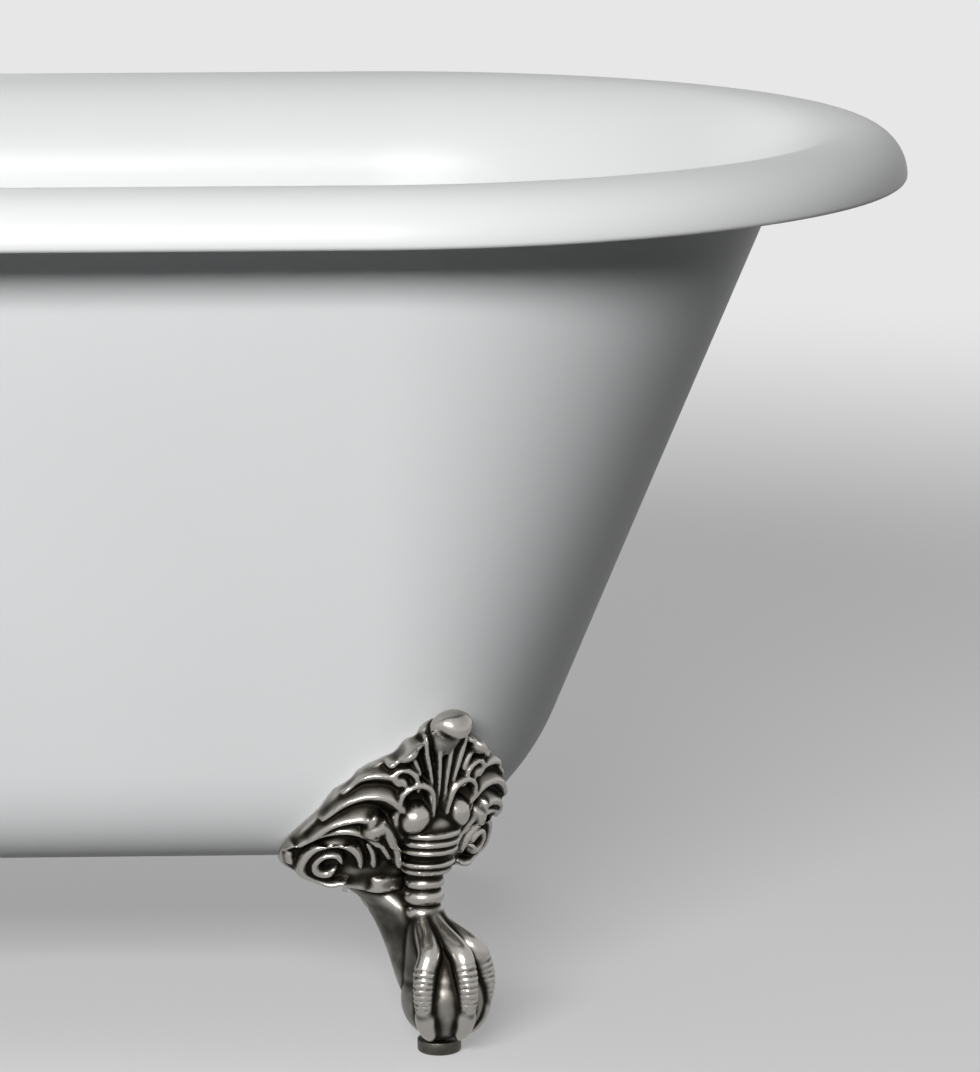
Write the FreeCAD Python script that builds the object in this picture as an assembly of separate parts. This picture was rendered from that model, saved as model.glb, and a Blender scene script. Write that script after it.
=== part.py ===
import FreeCAD
import Part
import math
import os

from FreeCAD import Vector

# A double-ended roll-top bath on four claw-and-ball feet.
# Millimetres, +Z up, the floor at Z = 0 and the origin under the middle of the bath.
# The long axis is X, the front is at -Y, and the overflow is in the rear wall.

# --- Driving dimensions of the casting ---------------------------------------------------
LENGTH = 1700.0
WIDTH = 760.0
HEIGHT = 610.0
UNDERSIDE = 125.0
WALL = 6.5
ROLL_OUT = 36.0
ROLL_DROP = 37.0
ROLL_START = 70.0
ROLL_INNER_RISE = 30.0
ROLL_INNER_LEAD = 32.0
ROLL_UNDER_RISE = 22.0
ROLL_UNDER_LEAD = 25.0
CORNER_RISE = 75.0
END_LOW = 133.0
END_HIGH = 278.0
SIDE_LOW = 240.0
SIDE_HIGH = 287.0
FLAT_END = 20.0
FLAT_SIDE = 165.0

# --- Waste fittings ----------------------------------------------------------------------
WASTE_HOLE = 50.0
WASTE_THREAD = 48.0
WASTE_BORE = 40.0
WASTE_FLANGE = 72.0
WASTE_FLANGE_THICK = 2.5
WASTE_RECESS_DEPTH = 4.0
WASTE_SEAL_THICK = 1.5
WASTE_BOSS = 92.0
WASTE_BOSS_DROP = 6.0
LOWER_SEAL_THICK = 3.0
LOWER_SEAL = 70.0
BACKNUT_ACROSS = 62.0
BACKNUT_THICK = 10.0
BODY_OUTER = 56.0
BODY_LENGTH = 50.0
BODY_THREAD_LENGTH = 14.0
BODY_FLOOR = 4.0
OUTLET_LENGTH = 14.0
OUTLET_OUTER = 46.0
TAILPIECE = 38.0
TAILPIECE_WALL = 1.5
TAILPIECE_LENGTH = 44.0
TAILPIECE_ENTRY = 12.0
TAILPIECE_BEAD = 2.0
TAILPIECE_BEAD_PROUD = 1.5
SLIP_NUT_ACROSS = 54.0
SLIP_NUT_LENGTH = 16.0
SLIP_NUT_OVERLAP = 10.0
PLUG_CAP = 48.0
PLUG_CAP_THICK = 4.0
PLUG_SKIRT = 36.0
PLUG_SKIRT_DEPTH = 7.0
PLUG_SEAL_SECTION = 3.0
PLUG_STEM = 6.0
PLUG_LIFT = 10.0
GUIDE_HUB = 12.0
GUIDE_THICK = 6.0
GUIDE_DEPTH = 18.0
SPOKE = 3.0
SPOKES = 3
LEVER_ARM = 16.0
LEVER_WIDTH = 8.0
LEVER_THICK = 4.0
LEVER_TAIL = 5.0
LEVER_PIN = 4.0
LEVER_EYE = 8.0

# --- Overflow fittings -------------------------------------------------------------------
OVERFLOW_HEIGHT = 480.0
OVERFLOW_HOLE = 42.0
OVERFLOW_PAD = 66.0
OVERFLOW_PAD_PROUD = 3.0
OVERFLOW_RECESS = 1.0
FACEPLATE = 70.0
FACEPLATE_THICK = 3.0
FACEPLATE_TAIL = 40.0
FACEPLATE_TAIL_WALL = 2.5
OVERFLOW_SEAL_THICK = 3.0
OVERFLOW_SEAL_BORE = 44.0
BEARING_HUB = 16.0
BEARING_LENGTH = 10.0
SPINDLE = 8.0
CRANK_DISC = 22.0
CRANK_THICK = 4.0
CRANK_SETBACK = 6.0
KNOB = 60.0
KNOB_DEPTH = 15.0
KNOB_STANDOFF = 5.0
KNOB_GRIPS = 8
KNOB_GRIP = 7.0
KNOB_WALL = 2.5
ELBOW_OUTER = 50.0
ELBOW_WALL = 3.0
ELBOW_LENGTH = 50.0
ELBOW_FLANGE = 62.0
ELBOW_FLANGE_THICK = 4.0
SOCKET_WALL = 3.0
SOCKET_LENGTH = 16.0
PIPE = 32.0
PIPE_WALL = 1.5
PIPE_BEND = 90.0
PIPE_HEIGHT = 80.0
PIPE_NUT_ACROSS = 44.0
PIPE_NUT_LENGTH = 16.0
CABLE = 5.0
CABLE_CLIP = 4.0

# --- Feet: forward is measured out from the middle of the pad ------------------------------
FOOT_X = 513.0
FOOT_Y = 230.0
FOOT_TURN = 35.0
BALL = 62.0
BALL_FORWARD = 4.0
SOLE_HEIGHT = 9.0
SPIGOT = 28.0
ANKLE_HEIGHT = 101.0
ANKLE_RADIUS = 15.0
ANKLE_BACK = 15.0
BEADS = 2
BEAD_PROUD = 2.5
BEAD_PITCH = 10.0
COLLAR_HEIGHT = 127.0
COLLAR_PITCH = 7.0
COLLAR_RIDGES = 3
COLLAR_PROUD = 2.5
COLLAR_VALLEY = 0.6
COLLAR_ROOT = 2.0
LEAF_TOP = 241.0
LEAF_THICK = 8.0
RIB_THICK = 12.0
RIB_ROOT = 3.0
RIB_END = 8.0
SCROLL_THICK = 16.0
SCROLL_RADIUS = 19.0
SCROLL_BAND = 5.0
SCROLL_EYE = 8.0
SCROLL_OUT = 52.0
SCROLL_HEIGHT = 137.0
KNOB_LEAF_RADIUS = 9.0
BUD_RADIUS = 10.0
BUD_FORWARD = 8.0
BUD_HEIGHT = 166.0
TOP_KNOB_FORWARD = 19.0
TOE_ROOT = 8.0
TOE_SPREAD = 60.0
FLANGE_BACK = 84.0
FLANGE_FRONT = 40.0
FLANGE_HALF_WIDTH = 31.0
FLANGE_THICK = 10.0
OVER_FLANGE_HEIGHT = 20.0
OVER_FLANGE_FRONT = 44.0
BOSS_DROP = 7.0
BOSS_RADIUS = 11.0
BOSS_ROOT = 5.0
BOLT = 8.0
BOLT_SPACING = 44.0
BOLT_BACK = 70.0
BOLT_HEAD_ACROSS = 13.0
BOLT_HEAD_THICK = 5.3
BOLT_GRIP = 21.0
WASHER_OUTER = 16.0
WASHER_THICK = 1.6
PAD = 30.0
PAD_STEM = 10.0
PAD_STEM_LENGTH = 24.0
PAD_EDGE = 1.5

# Each row is forward, half depth, half width and height.
LEG = (
    (1, 23, 20, 32),
    (-8, 28, 18, 48),
    (-19, 33, 16, 64),
    (-34, 38, 14, 80),
    (-41, 43, 13, 94),
    (-40, 46, 14, 108),
    (-39, 47, 15, 118),
)
COLUMN = (
    (-14, 13, 13, 78),
    (-14, 14, 14, 90),
    (-15, 14, 15, 101),
    (-14, 16, 19, 112),
    (-13, 21, 25, 125),
    (-11, 24, 29, 139),
    (-6, 20, 31, 160),
    (2, 14, 29, 190),
    (8, 12, 23, 214),
    (14, 9, 15, 232),
)
# Each row is distance out from the ball's centre line, height and radius. The last is the talon.
TOE = ((14, 85, 7.5), (27, 68, 7), (33, 50, 6.5), (33, 36, 6), (29, 25, 4), (24, 17, 1.5))
# Half of the leaf's edge, from below: each row is a lobe's crown and its end, sideways and up.
LEAF_START = (0, 106)
LEAF_LOBES = (
    ((42, 113), (62, 121)),
    ((81, 128), (82, 146)),
    ((80, 162), (68, 171)),
    ((68, 186), (54, 193)),
    ((52, 206), (37, 209)),
    ((33, 222), (17, 224)),
)
LEAF_CROWN = (0, LEAF_TOP)
RIB_BASE = (0, 152)

# --- Clearances --------------------------------------------------------------------------
SEAT_GAP = 0.3
RUNNING_GAP = 0.05
THREAD_GAP = 0.2
BOLT_GAP = 0.5
LOOSE_GAP = 1.0
SEWN = 1e-4

X = Vector(1, 0, 0)
Y = Vector(0, 1, 0)
Z = Vector(0, 0, 1)
ORIGIN = Vector(0, 0, 0)
END_CENTRE = (LENGTH - WIDTH) / 2
WALL_LOW_Z = UNDERSIDE + CORNER_RISE
WALL_HIGH_Z = HEIGHT - ROLL_START
END_SLOPE = (END_HIGH - END_LOW) / (WALL_HIGH_Z - WALL_LOW_Z)
SIDE_SLOPE = (SIDE_HIGH - SIDE_LOW) / (WALL_HIGH_Z - WALL_LOW_Z)
LIP = WIDTH / 2
CREST = LIP - ROLL_OUT


def tube(outer, inner, bottom, top, base=ORIGIN, axis=Z):
    """A ring of two diameters between two distances along an axis."""
    start = base + axis * bottom
    solid = Part.makeCylinder(outer / 2, top - bottom, start, axis)
    if inner > 0:
        solid = solid.cut(Part.makeCylinder(inner / 2, top - bottom, start, axis))
    return solid


def hex_prism(across, bottom, top, base=ORIGIN, axis=Z):
    """A hexagonal prism, named by its width across flats."""
    side = Vector(1, 0, 0) if abs(axis.x) < 0.9 else Vector(0, 1, 0)
    third = axis.cross(side)
    radius = across / math.sqrt(3)
    corners = []
    for step in range(7):
        angle = math.radians(60 * step)
        spoke = side * math.cos(angle) + third * math.sin(angle)
        corners.append(base + axis * bottom + spoke * radius)
    face = Part.Face(Part.makePolygon(corners))
    return face.extrude(axis * (top - bottom))


def fuse(solids):
    """One solid from overlapping solids, joined one after another."""
    joined = solids[0]
    for solid in solids[1:]:
        joined = joined.fuse(solid)
    return joined


# --- The casting: an enamelled iron bowl with a hollow rolled rim ------------------------
# A station is (end, side, height): how far the skin stands from an end centre, how far it
# stands from the long axis, and its level. A stretch is a row of stations that steer one
# smooth band of skin. Each band goes round an end as an exact half ellipse.
SQUARE = math.sqrt(0.5)
HALF_ROUND = ((1, 0), (1, 1), (0, 1), (-1, 1), (-1, 0))
HALF_ROUND_WEIGHTS = (1, SQUARE, 1, SQUARE, 1)


def bent_band(stretch, weights, toward):
    """The band of a stretch round the right end (toward 1) or the left end (toward -1)."""
    poles = []
    all_weights = []
    for (across, along), weight in zip(HALF_ROUND, HALF_ROUND_WEIGHTS):
        poles.append(
            [Vector(toward * (END_CENTRE + along * e), toward * across * s, z) for e, s, z in stretch]
        )
        all_weights.append([weight * other for other in weights])
    degree = len(stretch) - 1
    surface = Part.BSplineSurface()
    surface.buildFromPolesMultsKnots(
        poles, (3, 2, 3), (degree + 1, degree + 1), (0, 1, 2), (0, 1), False, False, 2, degree, all_weights
    )
    return surface.toShape()


def straight_band(stretch, weights, toward):
    """The band of a stretch along the front (toward 1) or the rear (toward -1)."""
    poles = [[Vector(x, -toward * side, z) for end, side, z in stretch] for x in (-END_CENTRE, END_CENTRE)]
    degree = len(stretch) - 1
    surface = Part.BSplineSurface()
    surface.buildFromPolesMultsKnots(
        poles, (2, 2), (degree + 1, degree + 1), (0, 1), (0, 1), False, False, 1, degree, [weights, weights]
    )
    return surface.toShape()


def outline(station):
    """The level outline of a station: two straight sides joined by half ellipses."""
    end, side, z = station
    edges = []
    for toward in (1, -1):
        poles = [
            Vector(toward * (END_CENTRE + along * end), toward * across * side, z)
            for across, along in HALF_ROUND
        ]
        curve = Part.BSplineCurve()
        curve.buildFromPolesMultsKnots(poles, (3, 2, 3), (0, 1, 2), False, 2, HALF_ROUND_WEIGHTS)
        edges.append(curve.toShape())
        edges.append(Part.makeLine(poles[-1], Vector(-poles[-1].x, poles[-1].y, z)))
    return Part.Wire(edges)


def skin(stretches):
    """All the bands of a row of stretches, each with its weights."""
    faces = []
    for stretch, weights in stretches:
        for toward in (1, -1):
            faces.append(bent_band(stretch, weights, toward))
            faces.append(straight_band(stretch, weights, toward))
    return faces


def closed_solid(faces):
    """The solid inside faces that meet edge to edge."""
    shell = Part.makeShell(faces)
    shell.sewShape()
    solid = Part.Solid(shell)
    solid.fix(SEWN, SEWN, SEWN)
    return solid


def wall_at(offset, height):
    """The station of the sloping wall at a height, with the wall grown by offset."""
    end = END_LOW + END_SLOPE * (height - WALL_LOW_Z) + offset * math.hypot(1, END_SLOPE)
    side = SIDE_LOW + SIDE_SLOPE * (height - WALL_LOW_Z) + offset * math.hypot(1, SIDE_SLOPE)
    return end, side, height


def bowl_stretches(offset, top):
    """The lower corner and the wall of the bowl up to a height, grown by offset."""
    bottom = UNDERSIDE - offset
    corner = [(FLAT_END, FLAT_SIDE, bottom), wall_at(offset, bottom), wall_at(offset, WALL_LOW_Z)]
    wall = [wall_at(offset, WALL_LOW_Z), wall_at(offset, top)]
    return [(corner, (1, 1, 1)), (wall, (1, 1))]


def roll_stretches(offset, crest_z, rise, lead, lip):
    """The rim: up from the wall to the crest, then a quarter ellipse down to the lip."""
    inward = CREST - lead
    up = [
        wall_at(offset, WALL_HIGH_Z),
        wall_at(offset, WALL_HIGH_Z + rise),
        (inward, inward, crest_z),
        (CREST, CREST, crest_z),
    ]
    lip_z = HEIGHT - ROLL_DROP
    down = [(CREST, CREST, crest_z), (lip, lip, crest_z), (lip, lip, lip_z)]
    return [(up, (1, 1, 1, 1)), (down, (1, SQUARE, 1))]


def make_bowl():
    """The thin casting: inner skin, lip ring, outer skin and the two flat bottoms."""
    inner = bowl_stretches(-WALL, WALL_HIGH_Z)
    inner += roll_stretches(-WALL, HEIGHT, ROLL_INNER_RISE, ROLL_INNER_LEAD, LIP)
    outer = bowl_stretches(0, WALL_HIGH_Z)
    outer += roll_stretches(0, HEIGHT - WALL, ROLL_UNDER_RISE, ROLL_UNDER_LEAD, LIP - WALL)
    lip_outside = outline(inner[-1][0][-1])
    lip_inside = outline(outer[-1][0][-1])
    faces = skin(inner) + skin(outer)
    faces.append(Part.Face([lip_outside, lip_inside]))
    faces.append(Part.Face(outline(inner[0][0][0])))
    faces.append(Part.Face(outline(outer[0][0][0])))
    return closed_solid(faces)


def grown_body(offset, top):
    """A solid of the bowl's outside, grown by offset, up to a height."""
    stretches = bowl_stretches(offset, top)
    faces = skin(stretches)
    faces.append(Part.Face(outline(stretches[0][0][0])))
    faces.append(Part.Face(outline(stretches[-1][0][-1])))
    return closed_solid(faces)


# --- The casting's seats: waste boss, overflow pad and the bosses for the feet -----------
FLOOR_TOP = UNDERSIDE + WALL
WASTE_SEAT = FLOOR_TOP - WASTE_RECESS_DEPTH
WASTE_BOSS_FACE = UNDERSIDE - WASTE_BOSS_DROP
BOSS_FACE = UNDERSIDE - BOSS_DROP
BOLT_HOLE_DEPTH = BOLT_GRIP - FLANGE_THICK - WASHER_THICK + LOOSE_GAP

# The overflow's axis runs square through the rear wall, from the bath outwards.
LEAN = math.atan(SIDE_SLOPE)
OUT = Vector(0, math.cos(LEAN), -math.sin(LEAN))
DOWN = Vector(0, -math.sin(LEAN), -math.cos(LEAN))
OVERFLOW_AT = Vector(0, wall_at(-WALL, OVERFLOW_HEIGHT)[1], OVERFLOW_HEIGHT)
OVERFLOW_SEAT = OVERFLOW_RECESS
OVERFLOW_PAD_FACE = WALL + OVERFLOW_PAD_PROUD


def foot_point(forward, sideways, height):
    """A point by the front right foot: forward out of the bath, sideways to its right."""
    turn = math.radians(FOOT_TURN)
    out = Vector(math.sin(turn), -math.cos(turn), 0)
    side = Vector(math.cos(turn), math.sin(turn), 0)
    return Vector(FOOT_X, -FOOT_Y, height) + out * forward + side * sideways


def at_foot(shape):
    """A shape drawn about the origin, facing +X, moved to the front right foot."""
    placed = shape.copy()
    placed.rotate(ORIGIN, Z, FOOT_TURN - 90)
    placed.translate(Vector(FOOT_X, -FOOT_Y, 0))
    return placed


def four_corners(shape):
    """A front right shape and its mirror images, by name of corner."""
    left = shape.mirror(ORIGIN, X)
    return {
        "front_right": shape,
        "front_left": left,
        "rear_right": shape.mirror(ORIGIN, Y),
        "rear_left": left.mirror(ORIGIN, Y),
    }


def bolt_places():
    """The two bolts of the front right foot, seen from above."""
    return [foot_point(-BOLT_BACK, side * BOLT_SPACING / 2, 0) for side in (-1, 1)]


def at_all_corners(solids):
    """A group of front right solids and its three mirror images, in one compound."""
    return Part.Compound([copy for solid in solids for copy in four_corners(solid).values()])


def make_tub_shell():
    """The bowl with its waste boss, overflow pad and foot bosses, bored and recessed."""
    shell = make_bowl()
    inside_wall = WALL / 2
    boss = tube(WASTE_BOSS, 0, WASTE_BOSS_FACE, UNDERSIDE + inside_wall)
    pad = tube(OVERFLOW_PAD, 0, inside_wall, OVERFLOW_PAD_FACE, OVERFLOW_AT, OUT)
    lugs = []
    for place in bolt_places():
        lug = Part.makeCylinder(BOSS_RADIUS, BOSS_DROP + BOSS_ROOT, place + Z * BOSS_FACE)
        lugs += four_corners(lug).values()
    shell = shell.fuse([boss, pad] + lugs)
    flange_recess = WASTE_FLANGE + 2 * LOOSE_GAP
    faceplate_recess = FACEPLATE + 2 * LOOSE_GAP
    cuts = [
        tube(WASTE_HOLE, 0, WASTE_BOSS_FACE - LOOSE_GAP, FLOOR_TOP),
        tube(flange_recess, 0, WASTE_SEAT, FLOOR_TOP + LOOSE_GAP),
        tube(OVERFLOW_HOLE, 0, 0, OVERFLOW_PAD_FACE + LOOSE_GAP, OVERFLOW_AT, OUT),
        tube(faceplate_recess, 0, -OVERFLOW_PAD / 2, OVERFLOW_SEAT, OVERFLOW_AT, OUT),
    ]
    for place in bolt_places():
        hole = Part.makeCylinder(BOLT / 2 + THREAD_GAP, BOLT_HOLE_DEPTH, place + Z * BOSS_FACE)
        cuts += four_corners(hole).values()
    return shell.cut(cuts)


# --- The waste: flange, seals, nut and tee under the floor -------------------------------
UPPER_SEAL_TOP = WASTE_SEAT + WASTE_SEAL_THICK
FLANGE_TOP = UPPER_SEAL_TOP + WASTE_FLANGE_THICK
LOWER_SEAL_BOTTOM = WASTE_BOSS_FACE - LOWER_SEAL_THICK
BODY_TOP = LOWER_SEAL_BOTTOM - BACKNUT_THICK
TAIL_BOTTOM = BODY_TOP - BODY_THREAD_LENGTH
BODY_BOTTOM = BODY_TOP - BODY_LENGTH
OUTLET_BOTTOM = BODY_BOTTOM - OUTLET_LENGTH
THREAD_BORE = WASTE_THREAD + 2 * THREAD_GAP
BODY_CHAMBER = WASTE_BORE + 4 * TAILPIECE_WALL
INLET_STOP = BODY_CHAMBER / 2 + CABLE_CLIP
INLET_END = BODY_OUTER / 2 + SOCKET_LENGTH
SOCKET_BORE = PIPE + 2 * THREAD_GAP
SOCKET_OUTER = SOCKET_BORE + 2 * SOCKET_WALL
TAILPIECE_TOP = OUTLET_BOTTOM + TAILPIECE_ENTRY
TAILPIECE_BORE = TAILPIECE + 2 * THREAD_GAP
HUB_TOP = FLANGE_TOP - GUIDE_DEPTH
PLUG_TOP = FLANGE_TOP + PLUG_CAP_THICK + SEAT_GAP
PLUG_BASE = FLANGE_TOP + SEAT_GAP
LEVER_SWING = 2 * math.atan(PLUG_LIFT / 2 / LEVER_ARM)
LEVER_PIN_HEIGHT = PIPE_HEIGHT


def spokes(reach, bottom, top, base=ORIGIN, axis=Z):
    """Flat arms that run from an axis out to a reach."""
    side = X
    arms = []
    for step in range(SPOKES):
        turn = FreeCAD.Rotation(axis, 360 * step / SPOKES)
        along = turn.multVec(side)
        across = axis.cross(along) * SPOKE
        corner = base + axis * bottom - across * 0.5
        loop = [corner, corner + along * reach, corner + along * reach + across, corner + across, corner]
        arms.append(Part.Face(Part.makePolygon(loop)).extrude(axis * (top - bottom)))
    return arms


def make_waste_flange():
    """Polished flange with a dished edge, its threaded tail and the cross that guides the plug."""
    inside = WASTE_BORE / 2
    edge = WASTE_FLANGE / 2
    dish = PLUG_CAP / 2 + LOOSE_GAP
    profile = [
        Vector(inside, 0, TAIL_BOTTOM),
        Vector(WASTE_THREAD / 2, 0, TAIL_BOTTOM),
        Vector(WASTE_THREAD / 2, 0, UPPER_SEAL_TOP),
        Vector(edge, 0, UPPER_SEAL_TOP),
        Vector(edge, 0, UPPER_SEAL_TOP + WASTE_FLANGE_THICK / 2),
        Vector(dish, 0, FLANGE_TOP),
        Vector(inside, 0, FLANGE_TOP),
    ]
    ring = Part.Face(Part.makePolygon(profile + profile[:1])).revolve(ORIGIN, Z, 360)
    hub = tube(GUIDE_HUB, 0, HUB_TOP - GUIDE_THICK, HUB_TOP)
    arms = spokes(inside + LOOSE_GAP, HUB_TOP - GUIDE_THICK, HUB_TOP)
    bore = tube(PLUG_STEM + 2 * RUNNING_GAP, 0, HUB_TOP - GUIDE_DEPTH, HUB_TOP + LOOSE_GAP)
    return fuse([ring, hub] + arms).cut(bore)


def make_waste_body():
    """Brass tee: a chamber for the lift lever, an outlet below and the overflow inlet."""
    inlet_at = Z * PIPE_HEIGHT
    outside = [
        tube(BODY_OUTER, 0, BODY_BOTTOM, BODY_TOP),
        tube(OUTLET_OUTER, 0, OUTLET_BOTTOM, BODY_BOTTOM),
        tube(SOCKET_OUTER, 0, 0, INLET_END, inlet_at, Y),
    ]
    inside = [
        tube(THREAD_BORE, 0, TAIL_BOTTOM - THREAD_GAP, BODY_TOP),
        tube(BODY_CHAMBER, 0, BODY_BOTTOM + BODY_FLOOR, TAIL_BOTTOM),
        tube(TAILPIECE - 2 * TAILPIECE_WALL, 0, OUTLET_BOTTOM, BODY_BOTTOM + BODY_FLOOR),
        tube(TAILPIECE_BORE, 0, OUTLET_BOTTOM, TAILPIECE_TOP + THREAD_GAP),
        tube(SOCKET_BORE, 0, INLET_STOP, INLET_END, inlet_at, Y),
        tube(PIPE - 2 * PIPE_WALL, 0, 0, INLET_END, inlet_at, Y),
        tube(LEVER_PIN + 2 * RUNNING_GAP, 0, -BODY_OUTER, BODY_OUTER, lever_pivot(), X),
    ]
    body = fuse(outside).cut(inside)
    return body.fuse(cable_clip(inlet_at + Y * (INLET_STOP - CABLE_CLIP), Y, X))


def make_tailpiece(bead_top):
    """The plain tube that goes on to the trap, with a rolled bead below the slip nut."""
    bottom = TAILPIECE_TOP - TAILPIECE_LENGTH
    bead = tube(TAILPIECE + 2 * TAILPIECE_BEAD_PROUD, 0, bead_top - TAILPIECE_BEAD, bead_top)
    bore = tube(TAILPIECE - 2 * TAILPIECE_WALL, 0, bottom, TAILPIECE_TOP)
    return tube(TAILPIECE, 0, bottom, TAILPIECE_TOP).fuse(bead).cut(bore)


def cable_clip(at, axis, across):
    """A bar across a pipe's bore that holds the end of the control cable."""
    reach = PIPE / 2
    thick = axis.cross(across) * (CABLE + CABLE_CLIP)
    corner = at - across * reach - thick * 0.5
    loop = [corner, corner + across * 2 * reach, corner + across * 2 * reach + thick, corner + thick, corner]
    bar = Part.Face(Part.makePolygon(loop)).extrude(axis * CABLE_CLIP)
    return bar.cut(tube(CABLE + 2 * RUNNING_GAP, 0, -LOOSE_GAP, CABLE_CLIP + LOOSE_GAP, at, axis))


def lever_pivot():
    """Where the lift lever turns: level with the middle of its tip's travel."""
    return Vector(0, -LEVER_ARM, LEVER_PIN_HEIGHT)


def make_lift_lever():
    """A flat rocker with an eye on its pin and a rounded tip under the plug's stem."""
    pivot = lever_pivot()
    half = LEVER_WIDTH / 2
    eye = tube(LEVER_EYE, 0, -half, half, pivot, X)
    arm = Part.makeBox(LEVER_WIDTH, LEVER_ARM + LEVER_TAIL, LEVER_THICK)
    arm.translate(pivot + Vector(-half, 0, -LEVER_THICK / 2))
    lever = fuse([eye, arm]).cut(tube(LEVER_PIN + 2 * RUNNING_GAP, 0, -half, half, pivot, X))
    lever.rotate(pivot, X, -math.degrees(LEVER_SWING) / 2)
    return lever


def lever_tip_height():
    """The level of the lever's top face under the middle of the bath, at rest."""
    rise = LEVER_THICK / 2 / math.cos(LEVER_SWING / 2)
    return LEVER_PIN_HEIGHT - LEVER_ARM * math.tan(LEVER_SWING / 2) + rise


def make_plug():
    """Domed plug with a grooved skirt and its stem down to the lever."""
    cap = PLUG_CAP / 2
    skirt = PLUG_SKIRT / 2
    stem = PLUG_STEM / 2
    stem_end = lever_tip_height() + (stem + SEAT_GAP) / math.cos(LEVER_SWING / 2) - stem
    groove = skirt - PLUG_SEAL_SECTION / 2
    groove_top = PLUG_BASE - PLUG_SEAL_SECTION / 2
    groove_bottom = groove_top - PLUG_SEAL_SECTION
    skirt_bottom = PLUG_BASE - PLUG_SKIRT_DEPTH
    points = [
        Vector(0, 0, PLUG_TOP),
        Vector(cap / 2, 0, PLUG_TOP - PLUG_CAP_THICK / 8),
        Vector(cap, 0, PLUG_TOP - PLUG_CAP_THICK / 2),
        Vector(cap, 0, PLUG_BASE),
        Vector(skirt, 0, PLUG_BASE),
        Vector(skirt, 0, groove_top),
        Vector(groove, 0, groove_top),
        Vector(groove, 0, groove_bottom),
        Vector(skirt, 0, groove_bottom),
        Vector(skirt, 0, skirt_bottom),
        Vector(stem, 0, skirt_bottom),
        Vector(stem, 0, stem_end + stem),
    ]
    dome = Part.Arc(points[0], points[1], points[2]).toShape()
    sides = Part.makePolygon(points[2:]).Edges
    tip_middle = Vector(stem * SQUARE, 0, stem_end + stem * (1 - SQUARE))
    tip = Part.Arc(points[-1], tip_middle, Vector(0, 0, stem_end)).toShape()
    axis_line = Part.makeLine(Vector(0, 0, stem_end), points[0])
    plug = Part.Face(Part.Wire([dome] + sides + [tip, axis_line])).revolve(ORIGIN, Z, 360)
    seal = tube(WASTE_BORE - 2 * SEAT_GAP, 2 * groove, groove_bottom, groove_top)
    return plug, seal


# --- The overflow: faceplate, knob, elbow, pipe and cable --------------------------------
SEAL_FACE = OVERFLOW_SEAT - OVERFLOW_SEAL_THICK
PLATE_FACE = SEAL_FACE - FACEPLATE_THICK
HUB_END = PLATE_FACE + BEARING_LENGTH
ELBOW_FACE = OVERFLOW_PAD_FACE + OVERFLOW_SEAL_THICK
FACEPLATE_TAIL_END = ELBOW_FACE + ELBOW_FLANGE_THICK
ELBOW_BACK = ELBOW_FACE + ELBOW_LENGTH
ELBOW_BORE = ELBOW_OUTER - 2 * ELBOW_WALL
SOCKET_AXIS = (ELBOW_FACE + ELBOW_FLANGE_THICK + ELBOW_BACK - ELBOW_WALL) / 2
SOCKET_END = ELBOW_OUTER / 2 + SOCKET_LENGTH


def make_faceplate():
    """Round plate with a ring of water slots about the knob's bearing, and its tail."""
    tail_bore = FACEPLATE_TAIL - 2 * FACEPLATE_TAIL_WALL
    plate = tube(FACEPLATE, tail_bore, PLATE_FACE, SEAL_FACE, OVERFLOW_AT, OUT)
    tail = tube(FACEPLATE_TAIL, tail_bore, SEAL_FACE, FACEPLATE_TAIL_END, OVERFLOW_AT, OUT)
    hub = tube(BEARING_HUB, 0, PLATE_FACE, HUB_END, OVERFLOW_AT, OUT)
    arms = spokes(tail_bore / 2 + LOOSE_GAP, PLATE_FACE, HUB_END, OVERFLOW_AT, OUT)
    bore = tube(SPINDLE + 2 * RUNNING_GAP, 0, PLATE_FACE, HUB_END, OVERFLOW_AT, OUT)
    return fuse([plate, tail, hub] + arms).cut(bore)


def make_knob():
    """Hollow turned knob with finger grooves round its edge and a boss for the spindle."""
    back = PLATE_FACE - KNOB_STANDOFF
    face = back - KNOB_DEPTH
    cup = tube(KNOB, 0, face, back, OVERFLOW_AT, OUT)
    front = [
        edge for edge in cup.Edges if abs((edge.CenterOfMass - OVERFLOW_AT).dot(OUT) - face) < SEAT_GAP
    ]
    cup = cup.makeFillet(KNOB_WALL, front[:1])
    hollow = tube(KNOB - 4 * KNOB_WALL, 0, face + 2 * KNOB_WALL, back + LOOSE_GAP, OVERFLOW_AT, OUT)
    cup = cup.cut(hollow)
    grips = []
    for step in range(KNOB_GRIPS):
        turn = FreeCAD.Rotation(OUT, 360 * (step + 0.5) / KNOB_GRIPS)
        at = OVERFLOW_AT + turn.multVec(X) * (KNOB / 2 + KNOB_GRIP / 4)
        grips.append(tube(KNOB_GRIP, 0, face - LOOSE_GAP, back + LOOSE_GAP, at, OUT))
    boss = tube(BEARING_HUB, SPINDLE + 2 * RUNNING_GAP, face + 2 * KNOB_WALL, back, OVERFLOW_AT, OUT)
    return cup.cut(grips).fuse(boss)


def make_spindle():
    """The shaft behind the knob, with the crank disc that pulls the cable."""
    start = PLATE_FACE - KNOB_STANDOFF - KNOB_DEPTH + 2 * KNOB_WALL
    crank = HUB_END + CRANK_SETBACK
    shaft = tube(SPINDLE, 0, start, crank + CRANK_THICK, OVERFLOW_AT, OUT)
    disc = tube(CRANK_DISC, 0, crank, crank + CRANK_THICK, OVERFLOW_AT, OUT)
    pin_at = OVERFLOW_AT + X * (CRANK_DISC - SPINDLE) / 2
    pin = tube(SPINDLE / 2, 0, crank, crank + 2 * CRANK_THICK, pin_at, OUT)
    return fuse([shaft, disc, pin])


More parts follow.
